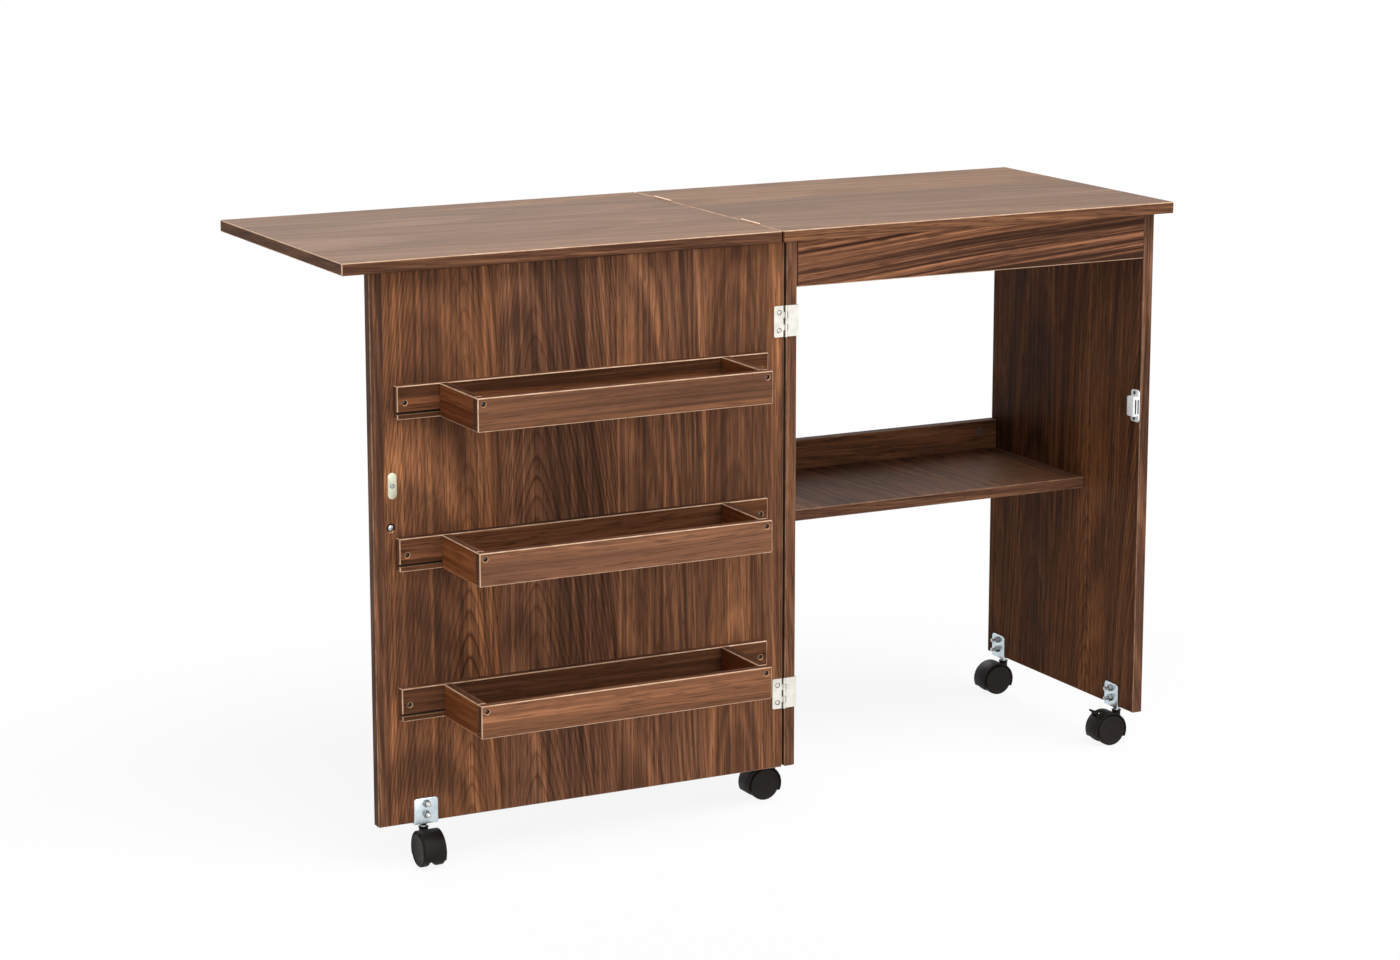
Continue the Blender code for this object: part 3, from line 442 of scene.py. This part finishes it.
# Painted shade: a near-black core for the faces deep in grooves and holes
BORE_SHADE = board_core("screw_bore_painted_shade", srgb(34, 24, 19), srgb(58, 41, 32))
NICKEL = metal("satin_nickel", srgb(228, 225, 216), 0.40)
ZINC = metal("bright_zinc", srgb(212, 224, 229), 0.28, even(300.0), 0.16)
CREAM = metal("strike_steel", srgb(212, 210, 188), 0.5)
STEEL = metal("screw_steel", srgb(196, 196, 194), 0.3)
# Darker steel of the nuts and of the bolts' cores; between the threads it is painted shade
NUT_AND_ROOT_SHADE_STEEL = metal("nut_steel", srgb(136, 140, 142), 0.3)
# Painted shade: steel darkened for the screw heads deep in the bins' holes
SHADED_SCREW_STEEL = metal("sunk_steel", srgb(88, 82, 78), 0.35)
DARK_STEEL = metal("oiled_steel", srgb(74, 74, 76), 0.4)
BRASS = metal("satin_brass", srgb(204, 174, 148), 0.45)
# Also the painted shadow rings round the sunk screw heads
BLACK = plastic("black_nylon", srgb(24, 19, 17), 0.5, specular=0.14)
WHEEL = plastic("wheel_nylon", srgb(29, 23, 21), 0.52, specular=0.14)
IVORY = plastic("white_nylon", srgb(250, 251, 254), 0.28, 0.04, 0.5)
CAP = plastic("brown_cap", srgb(84, 68, 60), 0.5)


# Shapes
def lathe(profile, sides=32, material=0):
    """A turned mesh about Z, from (radius, height) points that run from the top down."""
    bm = bmesh.new()
    rings = []
    for radius, height in profile:
        count = sides if radius else 1
        turns = [2 * math.pi * i / count for i in range(count)]
        rings.append([bm.verts.new((radius * math.cos(a), radius * math.sin(a), height)) for a in turns])
    for upper, lower in zip(rings, rings[1:]):
        for i in range(sides):
            corners = (upper[i % len(upper)], lower[i % len(lower)], lower[(i + 1) % len(lower)],
                       upper[(i + 1) % len(upper)])
            bm.faces.new(tuple(dict.fromkeys(corners))).material_index = material
    return to_mesh(bm)


def smooth_shaded(mesh):
    """Smooth shading, apart from sharp edges."""
    mesh.shade_smooth()
    mesh.set_sharp_from_angle(angle=math.radians(SMOOTH_ANGLE))
    return mesh


def to_mesh(bm):
    bmesh.ops.recalc_face_normals(bm, faces=bm.faces)
    mesh = bpy.data.meshes.new("shape")
    bm.to_mesh(mesh)
    bm.free()
    return smooth_shaded(mesh)


def box_mesh(low, high):
    """A plain block, for cutters."""
    size = Vector(high) - Vector(low)
    middle = (Vector(high) + Vector(low)) / 2
    bm = bmesh.new()
    bmesh.ops.create_cube(bm, size=1.0, matrix=Matrix.Translation(middle) @ Matrix.Diagonal((*size, 1.0)))
    return to_mesh(bm)


def group(*placed):
    """One mesh of several (mesh, matrix) copies."""
    bm = bmesh.new()
    for mesh, place in placed:
        copy = mesh.copy()
        copy.transform(place)
        bm.from_mesh(copy)
        bpy.data.meshes.remove(copy)
    return to_mesh(bm)


def worked(mesh, cuts=(), joins=(), soften=0.0, segments=2):
    """The mesh with others joined to it and cut from it, and then its sharp edges rounded."""
    holders = [bpy.data.objects.new("work", m) for m in (mesh, *joins, *cuts)]
    for holder in holders:
        bpy.context.scene.collection.objects.link(holder)
    base = holders[0]
    for i, other in enumerate(holders[1:]):
        boolean = base.modifiers.new("shape", "BOOLEAN")
        boolean.operation = "UNION" if i < len(joins) else "DIFFERENCE"
        boolean.object = other
    if soften:
        bevel = base.modifiers.new("soften", "BEVEL")
        bevel.width = soften
        bevel.segments = segments
        bevel.limit_method = "ANGLE"
        bevel.angle_limit = math.radians(SOFTEN_ANGLE)
    graph = bpy.context.evaluated_depsgraph_get()
    made = bpy.data.meshes.new_from_object(base.evaluated_get(graph))
    for holder in holders:
        bpy.data.objects.remove(holder)
    return smooth_shaded(made)


def piece(name, mesh, body, slot, materials, *replaced):
    """A new piece that rides on a body, and stands for the frame's nodes that it names."""
    obj = bpy.data.objects.new(name, mesh)
    bpy.context.scene.collection.objects.link(obj)
    chosen = [polygon.material_index for polygon in mesh.polygons]
    mesh.materials.clear()
    for material in materials:
        mesh.materials.append(material)
    for polygon, index in zip(mesh.polygons, chosen):
        polygon.material_index = min(index, len(materials) - 1)
    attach(obj, body)
    if replaced:
        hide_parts(*replaced)
    return obj


def own_mesh(node):
    """A copy of a node's mesh, free to be worked."""
    mesh = NODES[node].data.copy()
    bm = bmesh.new()
    bm.from_mesh(mesh)
    bmesh.ops.remove_doubles(bm, verts=bm.verts, dist=WELD)
    bmesh.ops.dissolve_limit(bm, angle_limit=math.radians(FLAT_ANGLE), verts=bm.verts, edges=bm.edges)
    bm.to_mesh(mesh)
    bm.free()
    return mesh


def paint(node, material):
    """A node that keeps its shape takes a better material."""
    slot = NODES[node].material_slots[0]
    slot.link = "OBJECT"
    slot.material = material


def at(x, y, z):
    return Matrix.Translation((x, y, z))


def facing(direction):
    """Turns a piece's own +Z to a direction."""
    return Vector(direction).to_track_quat("Z", "Y").to_matrix().to_4x4()


TO_FRONT = facing((0, -1, 0))


def hole_cutter(radius, depth):
    """Cutter for a flat-bottomed hole with a broken edge, half of it outside the face at z = 0."""
    mouth = radius + HOLE_BREAK
    profile = [(0, depth), (mouth, depth), (mouth, 0), (radius, -HOLE_BREAK), (radius, -depth), (0, -depth)]
    return lathe(profile, sides=24)


# Boards
# The last finish is painted shade: a near-black core on faces deep in grooves and holes
FACE, EDGE, WORN, SAWN, IN_SHADE = range(5)     # finishes of a board, in the order of its materials


def score(mesh, low, high):
    """Cuts the outer faces just inside their edges, so that a worn arris can run on to them."""
    bm = bmesh.new()
    bm.from_mesh(mesh)
    for axis in range(3):
        normal = Vector((axis == X, axis == Y, axis == Z))
        for depth in (low[axis] + ARRIS_REACH, high[axis] - ARRIS_REACH):
            bmesh.ops.bisect_plane(bm, geom=bm.verts[:] + bm.edges[:] + bm.faces[:], dist=ON_CUT,
                                   plane_co=normal * depth, plane_no=normal)
    bm.to_mesh(mesh)
    bm.free()


def everywhere(place, low, high):
    """All arrises of a board are worn."""
    return True


def on_rims(place, low, high):
    """Only along a board's upper and lower edges; the others lie in joints."""
    return min(place.z - low.z, high.z - place.z) < ARRIS_REACH


def below(place, low, high):
    """Only along a board's lower edges."""
    return place.z - low.z < ARRIS_REACH


def above_or_free(place, low, high):
    """A top's upper edges and its free end."""
    free_end = max(abs(low.x), abs(high.x))
    return high.z - place.z < ARRIS_REACH or free_end - abs(place.x) < ARRIS_REACH


def grain_axes(axis, grain, size):
    """The axes across and along the grain, on a face that looks along an axis."""
    plane = [k for k in range(3) if k != axis]
    along = grain if grain in plane else max(plane, key=lambda k: size[k])
    across = plane[0] if plane[1] == along else plane[1]
    return across, along


def board_finish(polygon, axis, thin, low, high, worn_at, holes):
    """Which of a board's finishes a polygon takes."""
    depths = [min(polygon.center[k] - low[k], high[k] - polygon.center[k]) for k in range(3)]
    arrised = sum(depth < ARRIS_REACH for depth in depths) > 1
    worn = arrised and worn_at(polygon.center, low, high)
    flat = abs(polygon.normal[axis]) > SQUARE
    outer = flat and depths[axis] < FLUSH
    if outer and not worn:
        return FACE if axis == thin else EDGE
    if worn and (outer or not flat):
        return WORN
    if arrised and not flat:
        return EDGE
    # In a hole the broken edge shows the pale core and deeper faces take the painted shade; in grooves, faces
    # that look up show the pale core and the others take the painted shade
    if any((polygon.center - spot).length < KNOB_HOLE_RADIUS for spot in holes):
        return SAWN if depths[Y] < HOLE_BREAK else IN_SHADE
    return SAWN if polygon.normal.z > LOOKS_UP else IN_SHADE


def dress_board(node, grain, kind, slot, seed, arris, worn_at=everywhere, holes=(), cutter=None):
    """A board with printed faces, banded edges, worn arrises, grooves and sunk screw holes, with painted
    shade deep in the grooves and holes.
    """
    low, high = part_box(node)
    size = high - low
    thin = min(range(3), key=lambda k: size[k])
    mesh = own_mesh(node)
    if holes:
        mesh = worked(mesh, [group((cutter, Matrix.Translation(spot) @ TO_FRONT)) for spot in holes])
    if size[thin] > SCORED:
        score(mesh, low, high)
    layer = mesh.attributes.new("grain", "FLOAT_VECTOR", "CORNER")
    for polygon in mesh.polygons:
        axis = max(range(3), key=lambda k: abs(polygon.normal[k]))
        across, along = grain_axes(axis, grain, size)
        polygon.material_index = board_finish(polygon, axis, thin, low, high, worn_at, holes)
        # A number of its own for each of a board's six faces
        own = seed * 6 + axis * 2 + (polygon.normal[axis] > 0)
        for corner in polygon.loop_indices:
            place = mesh.vertices[mesh.loops[corner].vertex_index].co
            layer.data[corner].vector = (place[across], place[along], own)
    piece(node + "_board", mesh, BODY_OF[node], slot, (kind, BAND, arris, CORE, BORE_SHADE), node)


def screw_spots(node):
    """Places of the screws in a bin's front board, or in the ears of its back board."""
    low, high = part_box(node)
    if node.endswith("front_board"):
        inset = FRONT_SCREW_INSET
        height = high.z - FRONT_SCREW_DROP
    else:
        inset = EAR_SCREW_INSET
        height = (low.z + high.z) / 2
    return [Vector((low.x + inset, low.y, height)), Vector((high.x - inset, low.y, height))]


def knob_spot():
    """Place of the knob's screw on the door's inner face."""
    low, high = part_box("door_knob")
    return Vector(((low.x + high.x) / 2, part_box("door_panel")[0].y, (low.z + high.z) / 2))


def dress_boards():
    """All boards. Each has its own seed, so that no two have the same print."""
    plain = (
        ("main_top", X, TOP_SHEEN, "walnut_top", ARRIS, above_or_free),
        ("leaf_top", X, TOP_SHEEN, "walnut_top", ARRIS, above_or_free),
        ("door_panel", Z, PANEL, "walnut", DULL_ARRIS, everywhere),
        ("left_side_panel", Z, SIDE_SHADE, "walnut", DULL_ARRIS, everywhere),
        ("right_side_panel", Z, SIDE_SHADE, "walnut", DULL_ARRIS, everywhere),
        ("front_rail", X, RAIL, "walnut", ARRIS, below),
        ("rear_rail", X, SIDE_SHADE, "walnut", DULL_ARRIS, below),
        ("shelf", Y, SHELF, "walnut", DULL_ARRIS, on_rims),
        ("shelf_back_rail", X, SIDE_SHADE, "walnut", DULL_ARRIS, on_rims),
    )
    knob_hole = hole_cutter(KNOB_HOLE_RADIUS, KNOB_HOLE_DEPTH)
    for seed, (node, grain, kind, slot, arris, worn_at) in enumerate(plain):
        holes = [knob_spot()] if node == "door_panel" else []
        dress_board(node, grain, kind, slot, seed, arris, worn_at, holes, knob_hole)
    hole = hole_cutter(HOLE_RADIUS, HOLE_DEPTH)
    seed = len(plain)
    bin_boards = (("back_board", X), ("front_board", X), ("left_end", Y), ("right_end", Y), ("floor", X))
    for level in LEVELS:
        for board, grain in bin_boards:
            node = f"{level}_bin_{board}"
            holes = screw_spots(node) if board in ("back_board", "front_board") else []
            if board.endswith("end"):
                dress_board(node, grain, BIN_END, "walnut", seed, ARRIS, on_rims)
            else:
                # Back boards take the darker walnut, painted shade of the bin's inside
                kind = BIN_BACK_SHADE if board == "back_board" else BIN
                dress_board(node, grain, kind, "walnut", seed, ARRIS, everywhere, holes, hole)
            seed += 1


# Fasteners
def cross_recess(radius, depth):
    """Cutter for a cross-head screw."""
    arm = radius * 0.62
    half = radius * 0.13
    bar = box_mesh((-arm, -half, -depth), (arm, half, depth))
    return worked(bar, joins=[box_mesh((-half, -arm, -depth), (half, arm, depth))])


def screw_head(radius, height):
    """Low domed head with a cross recess, its seat at z = 0."""
    profile = [(0, height), (radius * 0.6, height * 0.92), (radius * 0.9, height * 0.62),
               (radius, height * 0.2), (radius, 0), (0, 0)]
    cross = cross_recess(radius, height * 0.55)
    cross.transform(at(0, 0, height))
    return worked(lathe(profile, sides=28), cuts=[cross])


def sunk_head(radius, sink):
    """Countersunk head with its flat top at z = 0, in a black ring of painted shadow that fills the
    countersink.
    """
    foot = -radius * 0.4
    profile = [(0, 0), (radius * 0.93, 0), (radius, -radius * 0.08), (radius * 0.5, foot), (0, foot)]
    head = worked(lathe(profile, sides=28), cuts=[cross_recess(radius, radius * 0.25)])
    inner = radius * 1.04
    # Painted shadow: a black ring in the gap round the head
    ring = [(inner, -SHADOW_RING_DIP), (sink, 0.0), (sink, -SINK_LIP), (inner, -2 * SHADOW_RING_DIP), (inner, -SHADOW_RING_DIP)]
    return group((head, Matrix()), (lathe(ring, sides=28, material=1), Matrix()))


def countersink(sink, depth):
    """Cutter for a countersunk hole in metal."""
    throat = sink * 0.8
    profile = [(0, SINK_CLEAR), (sink, SINK_CLEAR), (sink, -SINK_LIP), (throat, -depth * 0.6),
               (throat, -2 * depth), (0, -2 * depth)]
    return lathe(profile, sides=28)


def round_free_corners(mesh, x):
    """Rounds the two corners at a hinge plate's free edge."""
    bm = bmesh.new()
    bm.from_mesh(mesh)
    corners = []
    for edge in bm.edges:
        first, second = [vert.co for vert in edge.verts]
        free = abs(first.x - x) < ON_EDGE and abs(second.x - x) < ON_EDGE
        if free and abs(first.z - second.z) < ON_EDGE / 2:
            corners.append(edge)
    bmesh.ops.bevel(bm, geom=corners, offset=HINGE_CORNER, segments=4, profile=0.5, affect="EDGES")
    bm.to_mesh(mesh)
    bm.free()


def screwed_plate(name, node, body, mesh, spots):
    """A hinge plate with countersunk holes, and the screws in them."""
    sink = countersink(HINGE_SINK, HINGE_METAL)
    head = sunk_head(HINGE_SINK * SUNK_HEAD, HINGE_SINK)
    plate = worked(mesh, [group((sink, spot)) for spot in spots])
    piece(name, plate, body, "nickel", (NICKEL,), node)
    heads = group(*[(head, spot @ at(0, 0, -SUNK_DROP)) for spot in spots])
    # The second material, black, is the painted shadow ring round each head
    piece(f"{name}_screws", heads, body, "steel", (NICKEL, BLACK))


def hinge_pieces():
    """The door hinges' plates and straps, with their screws."""
    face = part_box("door_panel")[0].y - HINGE_METAL - SEAT
    for level in ("upper", "lower"):
        node = f"{level}_hinge_door_plate"
        low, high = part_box(node)
        heights = [(low.z + high.z) / 2 + side * HINGE_SCREW_SPREAD for side in (-1, 1)]
        spots = [at(low.x + HINGE_SCREW_INSET, face, height) @ TO_FRONT for height in heights]
        plate = own_mesh(node)
        round_free_corners(plate, low.x)
        screwed_plate(f"{level}_hinge_plate", node, "door", plate, spots)
        node = f"{level}_hinge_carcass_strap"
        low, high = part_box(node)
        spots = [at(high.x, high.y - HINGE_SCREW_INSET, height) @ facing((1, 0, 0)) for height in heights]
        screwed_plate(f"{level}_hinge_strap", node, "carcass", own_mesh(node), spots)
        paint(f"{level}_hinge_pin", NICKEL)


def bin_screws():
    """Screw heads at the bottom of the bins' holes."""
    head = screw_head(HOLE_HEAD, HOLE_HEAD_HEIGHT)
    for level in LEVELS:
        spots = screw_spots(f"{level}_bin_front_board") + screw_spots(f"{level}_bin_back_board")
        placed = [(head, at(spot.x, spot.y + HOLE_DEPTH - SEAT, spot.z) @ TO_FRONT) for spot in spots]
        # The heads take darkened steel, painted shade of the holes they sit in
        piece(f"{level}_bin_screws", group(*placed), "door", "steel", (SHADED_SCREW_STEEL,))


def door_fittings():
    """Strike plate with its screw, and the knob with the screw that holds it through the door."""
    low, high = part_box("strike_plate")
    middle = (low + high) / 2
    spot = at(middle.x, low.y, middle.z) @ TO_FRONT
    hole = group((countersink(STRIKE_SINK, high.y - low.y), spot))
    plate = worked(worked(own_mesh("strike_plate"), soften=STRIKE_ROUND), [hole])
    piece("strike", plate, "door", "nickel", (CREAM,), "strike_plate")
    head = sunk_head(STRIKE_SINK * SUNK_HEAD, STRIKE_SINK)
    # Black is the painted shadow ring round the head
    piece("strike_screw", group((head, spot @ at(0, 0, -SUNK_DROP))), "door", "steel", (STEEL, BLACK))
    screw = Matrix.Translation(knob_spot() + Vector((0, KNOB_HOLE_DEPTH - SEAT, 0))) @ TO_FRONT
    head = screw_head(KNOB_SCREW_HEAD, KNOB_SCREW_HEIGHT)
    piece("knob_screw", group((head, screw)), "door", "steel", (STEEL,))
    paint("door_knob", NICKEL)


def catch_pieces():
    """Magnetic catch: rounded housing, dark pole plates and magnet, and two screws on the flange."""
    housing = worked(own_mesh("magnetic_catch"), soften=CATCH_ROUND)
    piece("catch_housing", housing, "carcass", "white_plastic", (IVORY,), "magnetic_catch")
    poles = worked(own_mesh("catch_magnet"), soften=POLE_ROUND)
    piece("catch_poles", poles, "carcass", "steel", (DARK_STEEL,), "catch_magnet")
    low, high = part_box("magnetic_catch")
    middle = (low + high) / 2
    head = screw_head(CATCH_SCREW_HEAD, CATCH_SCREW_HEIGHT)
    reach = (high.z - low.z) / 2 - CATCH_SCREW_END
    face = high.x - CATCH_FLANGE - SEAT
    back = middle.y + CATCH_SCREW_BACK
    placed = [(head, at(face, back, middle.z + side * reach) @ facing((-1, 0, 0))) for side in (-1, 1)]
    piece("catch_screws", group(*placed), "carcass", "steel", (DARK_STEEL,))


def bolt_mesh():
    """Nut and threaded end of a bolt that comes through a bracket, its seat at z = 0."""
    chamfer = NUT_RADIUS * 0.12
    nut = lathe([(0, NUT_HEIGHT), (NUT_RADIUS - chamfer, NUT_HEIGHT), (NUT_RADIUS, NUT_HEIGHT - chamfer),
                 (NUT_RADIUS, 0), (0, 0)], sides=6, material=1)
    root = THREAD_RADIUS * 0.8
    turns = int((BOLT_REACH - NUT_HEIGHT) / THREAD_PITCH)
    pieces = [(nut, Matrix())]
    for i in range(turns):
        top = BOLT_REACH - i * THREAD_PITCH
        crest = lathe([(0, top), (root, top), (THREAD_RADIUS, top - THREAD_PITCH * 0.25),
                       (THREAD_RADIUS, top - THREAD_PITCH * 0.45), (root, top - THREAD_PITCH * 0.7),
                       (0, top - THREAD_PITCH * 0.7)], sides=20)
        pieces.append((crest, Matrix()))
    end = BOLT_REACH - BOLT_POINT
    foot = NUT_HEIGHT * 0.9
    inside = root * 0.97
    # The darker core shows between the crests as stripes: painted shade in the thread roots
    core = lathe([(0, end), (inside, end), (inside, foot), (0, foot)], sides=20, material=1)
    return group(*pieces, (core, Matrix()))


def bracket_pieces():
    """Caster brackets, with their bolts and the bolt heads on the far side of the board."""
    bolt = bolt_mesh()
    head = screw_head(BOLT_HEAD, BOLT_HEAD / 2)
    boards = {"door": ("door_panel", Y), "left": ("left_side_panel", X), "right": ("right_side_panel", X)}
    for name in CASTERS:
        node = f"{name}_caster_bracket"
        body = BODY_OF[node]
        low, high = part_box(node)
        middle = (low + high) / 2
        board, axis = boards[name.split("_")[0]]
        board_low, board_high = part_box(board)
        outward = Vector((0, 0, 0))
        outward[axis] = 1 if high[axis] > board_high[axis] else -1
        near = high[axis] if outward[axis] > 0 else low[axis]
        far = board_low[axis] if outward[axis] > 0 else board_high[axis]
        ends = []
        heads = []
        for i in range(2):
            spot = middle.copy()
            spot.z = high.z - BOLT_DROP - i * BOLT_SPACING
            spot[axis] = near
            ends.append((bolt, Matrix.Translation(spot + outward * SEAT) @ facing(outward)))
            spot[axis] = far
            heads.append((head, Matrix.Translation(spot - outward * SEAT) @ facing(-outward)))
        plate = worked(own_mesh(node), soften=BRACKET_ROUND)
        piece(f"{name}_bracket", plate, body, "zinc", (ZINC,), node)
        # The second material is the nuts' darker steel, and painted shade in the thread roots
        piece(f"{name}_bracket_bolts", group(*ends), body, "zinc", (STEEL, NUT_AND_ROOT_SHADE_STEEL))
        piece(f"{name}_bracket_heads", group(*heads), body, "zinc", (ZINC,))


def cam_locks():
    """Capped cam locks in the rails and under the shelf, on the sides that don't face out."""
    profile = [(0, CAM_HEIGHT), (CAM_RADIUS * 0.92, CAM_HEIGHT), (CAM_RADIUS, CAM_HEIGHT / 2),
               (CAM_RADIUS, 0), (0, 0)]
    cam = worked(lathe(profile, sides=32), cuts=[cross_recess(CAM_RADIUS, CAM_RECESS)])
    placed = []
    for node, direction in (("shelf_back_rail", -1), ("rear_rail", -1), ("front_rail", 1)):
        low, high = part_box(node)
        face = high.y + SEAT if direction > 0 else low.y - SEAT
        for x in (low.x + CAM_INSET, high.x - CAM_INSET):
            placed.append((cam, at(x, face, high.z - CAM_DROP) @ facing((0, direction, 0))))
    low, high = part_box("shelf")
    for x in (low.x + CAM_INSET, high.x - CAM_INSET):
        for y in (low.y + CAM_DEPTH, high.y - CAM_DEPTH):
            placed.append((cam, at(x, y, low.z - SEAT) @ facing((0, 0, -1))))
    piece("cam_locks", group(*placed), "carcass", "black_plastic", (CAP,))


# Casters
def moulding(name, node, slot, *materials):
    """A caster's moulded piece with rounded edges."""
    mesh = worked(own_mesh(node), soften=CASTER_ROUND)
    return piece(name, mesh, BODY_OF[node], slot, materials, node)


def casters():
    """Hoods with a bright bare stem, wheels and brake levers."""
    for name in CASTERS:
        hood = moulding(f"{name}_hood", f"{name}_caster_hood", "black_plastic", BLACK, ZINC)
        for polygon in hood.data.polygons:
            polygon.material_index = int(STEM_LOW < polygon.center.z < STEM_HIGH)
        moulding(f"{name}_wheels", f"{name}_caster_wheels", "grey_plastic", WHEEL)
    for name in ("left_front", "right_front"):
        moulding(f"{name}_lever", f"{name}_brake_lever", "black_plastic", BLACK)


def leaf_hinges():
    """The hinges in the seam keep their shape."""
    for end in ("front", "rear"):
        for part in ("main_plate", "leaf_plate", "pin"):
            paint(f"{end}_leaf_hinge_{part}", BRASS)


# Stage
AMBIENT = 0.03
FLOOR_PALE = 0.9            # what the floor gives back to the cabinet
FLOOR_GLOW = 0.88           # plain white that the camera sees
FLOOR_SHADE = 0.12          # share of it that takes shadows
FLOOR_HALF = 30.0
SUN_ANGLE = 40              # degrees that each light spans, for soft shadows
LIGHTS = (                  # degrees to the right of the front, degrees above the floor, level
    ("overhead", 10, 60, 0.50),
    ("right", 60, 40, 0.32),
    ("left", -60, 40, 0.27),
    ("front", -2, 8, 0.44),
    ("back", 170, 35, 0.28),
)


def surround_ray(tree):
    """1 for rays that should meet plain white: from the camera, a reflection or through glass."""
    path = tree.nodes.new("ShaderNodeLightPath")
    value = path.outputs["Is Camera Ray"]
    for kind in ("Is Glossy Ray", "Is Transmission Ray"):
        either = tree.nodes.new("ShaderNodeMath")
        either.operation = "MAXIMUM"
        tree.links.new(value, either.inputs[0])
        tree.links.new(path.outputs[kind], either.inputs[1])
        value = either.outputs[0]
    return value


def white_world():
    """Plain white to look at, and a faint even light on the cabinet."""
    world = bpy.data.worlds.new("studio")
    bpy.context.scene.world = world
    world.use_nodes = True
    tree = world.node_tree
    soft = tree.nodes["Background"]
    soft.inputs["Strength"].default_value = AMBIENT
    soft.inputs["Color"].default_value = WHITE
    plain = tree.nodes.new("ShaderNodeBackground")
    plain.inputs["Color"].default_value = WHITE
    mix = tree.nodes.new("ShaderNodeMixShader")
    tree.links.new(surround_ray(tree), mix.inputs[0])
    tree.links.new(soft.outputs[0], mix.inputs[1])
    tree.links.new(plain.outputs[0], mix.inputs[2])
    tree.links.new(mix.outputs[0], tree.nodes["World Output"].inputs["Surface"])


def pale_floor():
    """Seen as plain white with the cabinet's shadow, and pale in the light that it gives back."""
    bm = bmesh.new()
    bmesh.ops.create_grid(bm, x_segments=1, y_segments=1, size=FLOOR_HALF)
    mesh = bpy.data.meshes.new("floor")
    bm.to_mesh(mesh)
    bm.free()
    floor = bpy.data.objects.new("floor", mesh)
    bpy.context.scene.collection.objects.link(floor)
    material = bpy.data.materials.new("floor")
    material.use_nodes = True
    tree = material.node_tree
    tree.nodes.remove(tree.nodes["Principled BSDF"])
    pale = tree.nodes.new("ShaderNodeBsdfDiffuse")
    pale.inputs["Color"].default_value = (FLOOR_PALE, FLOOR_PALE, FLOOR_PALE, 1.0)
    shaded = tree.nodes.new("ShaderNodeBsdfDiffuse")
    shaded.inputs["Color"].default_value = (FLOOR_SHADE, FLOOR_SHADE, FLOOR_SHADE, 1.0)
    glow = tree.nodes.new("ShaderNodeEmission")
    glow.inputs["Strength"].default_value = FLOOR_GLOW
    both = tree.nodes.new("ShaderNodeAddShader")
    tree.links.new(shaded.outputs[0], both.inputs[0])
    tree.links.new(glow.outputs[0], both.inputs[1])
    mix = tree.nodes.new("ShaderNodeMixShader")
    tree.links.new(surround_ray(tree), mix.inputs[0])
    tree.links.new(pale.outputs[0], mix.inputs[1])
    tree.links.new(both.outputs[0], mix.inputs[2])
    tree.links.new(mix.outputs[0], tree.nodes["Material Output"].inputs["Surface"])
    mesh.materials.append(material)


def soft_sun(name, bearing, elevation, level):
    """A broad, even light from a bearing: degrees to the right of the front, and above the floor."""
    light = bpy.data.lights.new(name, "SUN")
    light.energy = math.pi * level
    light.angle = math.radians(SUN_ANGLE)
    lamp = bpy.data.objects.new(name, light)
    turn = math.radians(bearing)
    rise = math.radians(elevation)
    source = Vector((math.sin(turn) * math.cos(rise), -math.cos(turn) * math.cos(rise), math.sin(rise)))
    lamp.rotation_euler = source.to_track_quat("Z", "Y").to_euler()
    bpy.context.scene.collection.objects.link(lamp)


def photo_camera():
    """The camera, where the photograph was taken from."""
    camera = bpy.data.cameras.new("camera")
    camera.sensor_width = SENSOR
    camera.lens = FOCAL_PIXELS * SENSOR / PHOTO_WIDTH
    camera.shift_y = CAMERA_SHIFT
    holder = bpy.data.objects.new("camera", camera)
    holder.location = CAMERA_PLACE
    holder.rotation_euler = (math.radians(90 - CAMERA_PITCH), 0, math.radians(-CAMERA_YAW))
    bpy.context.scene.collection.objects.link(holder)
    bpy.context.scene.camera = holder


def stage():
    white_world()
    pale_floor()
    for light in LIGHTS:
        soft_sun(*light)
    photo_camera()
    bpy.context.scene.view_settings.view_transform = "Standard"


dress_boards()
hinge_pieces()
bin_screws()
door_fittings()
catch_pieces()
bracket_pieces()
cam_locks()
casters()
leaf_hinges()
stage()
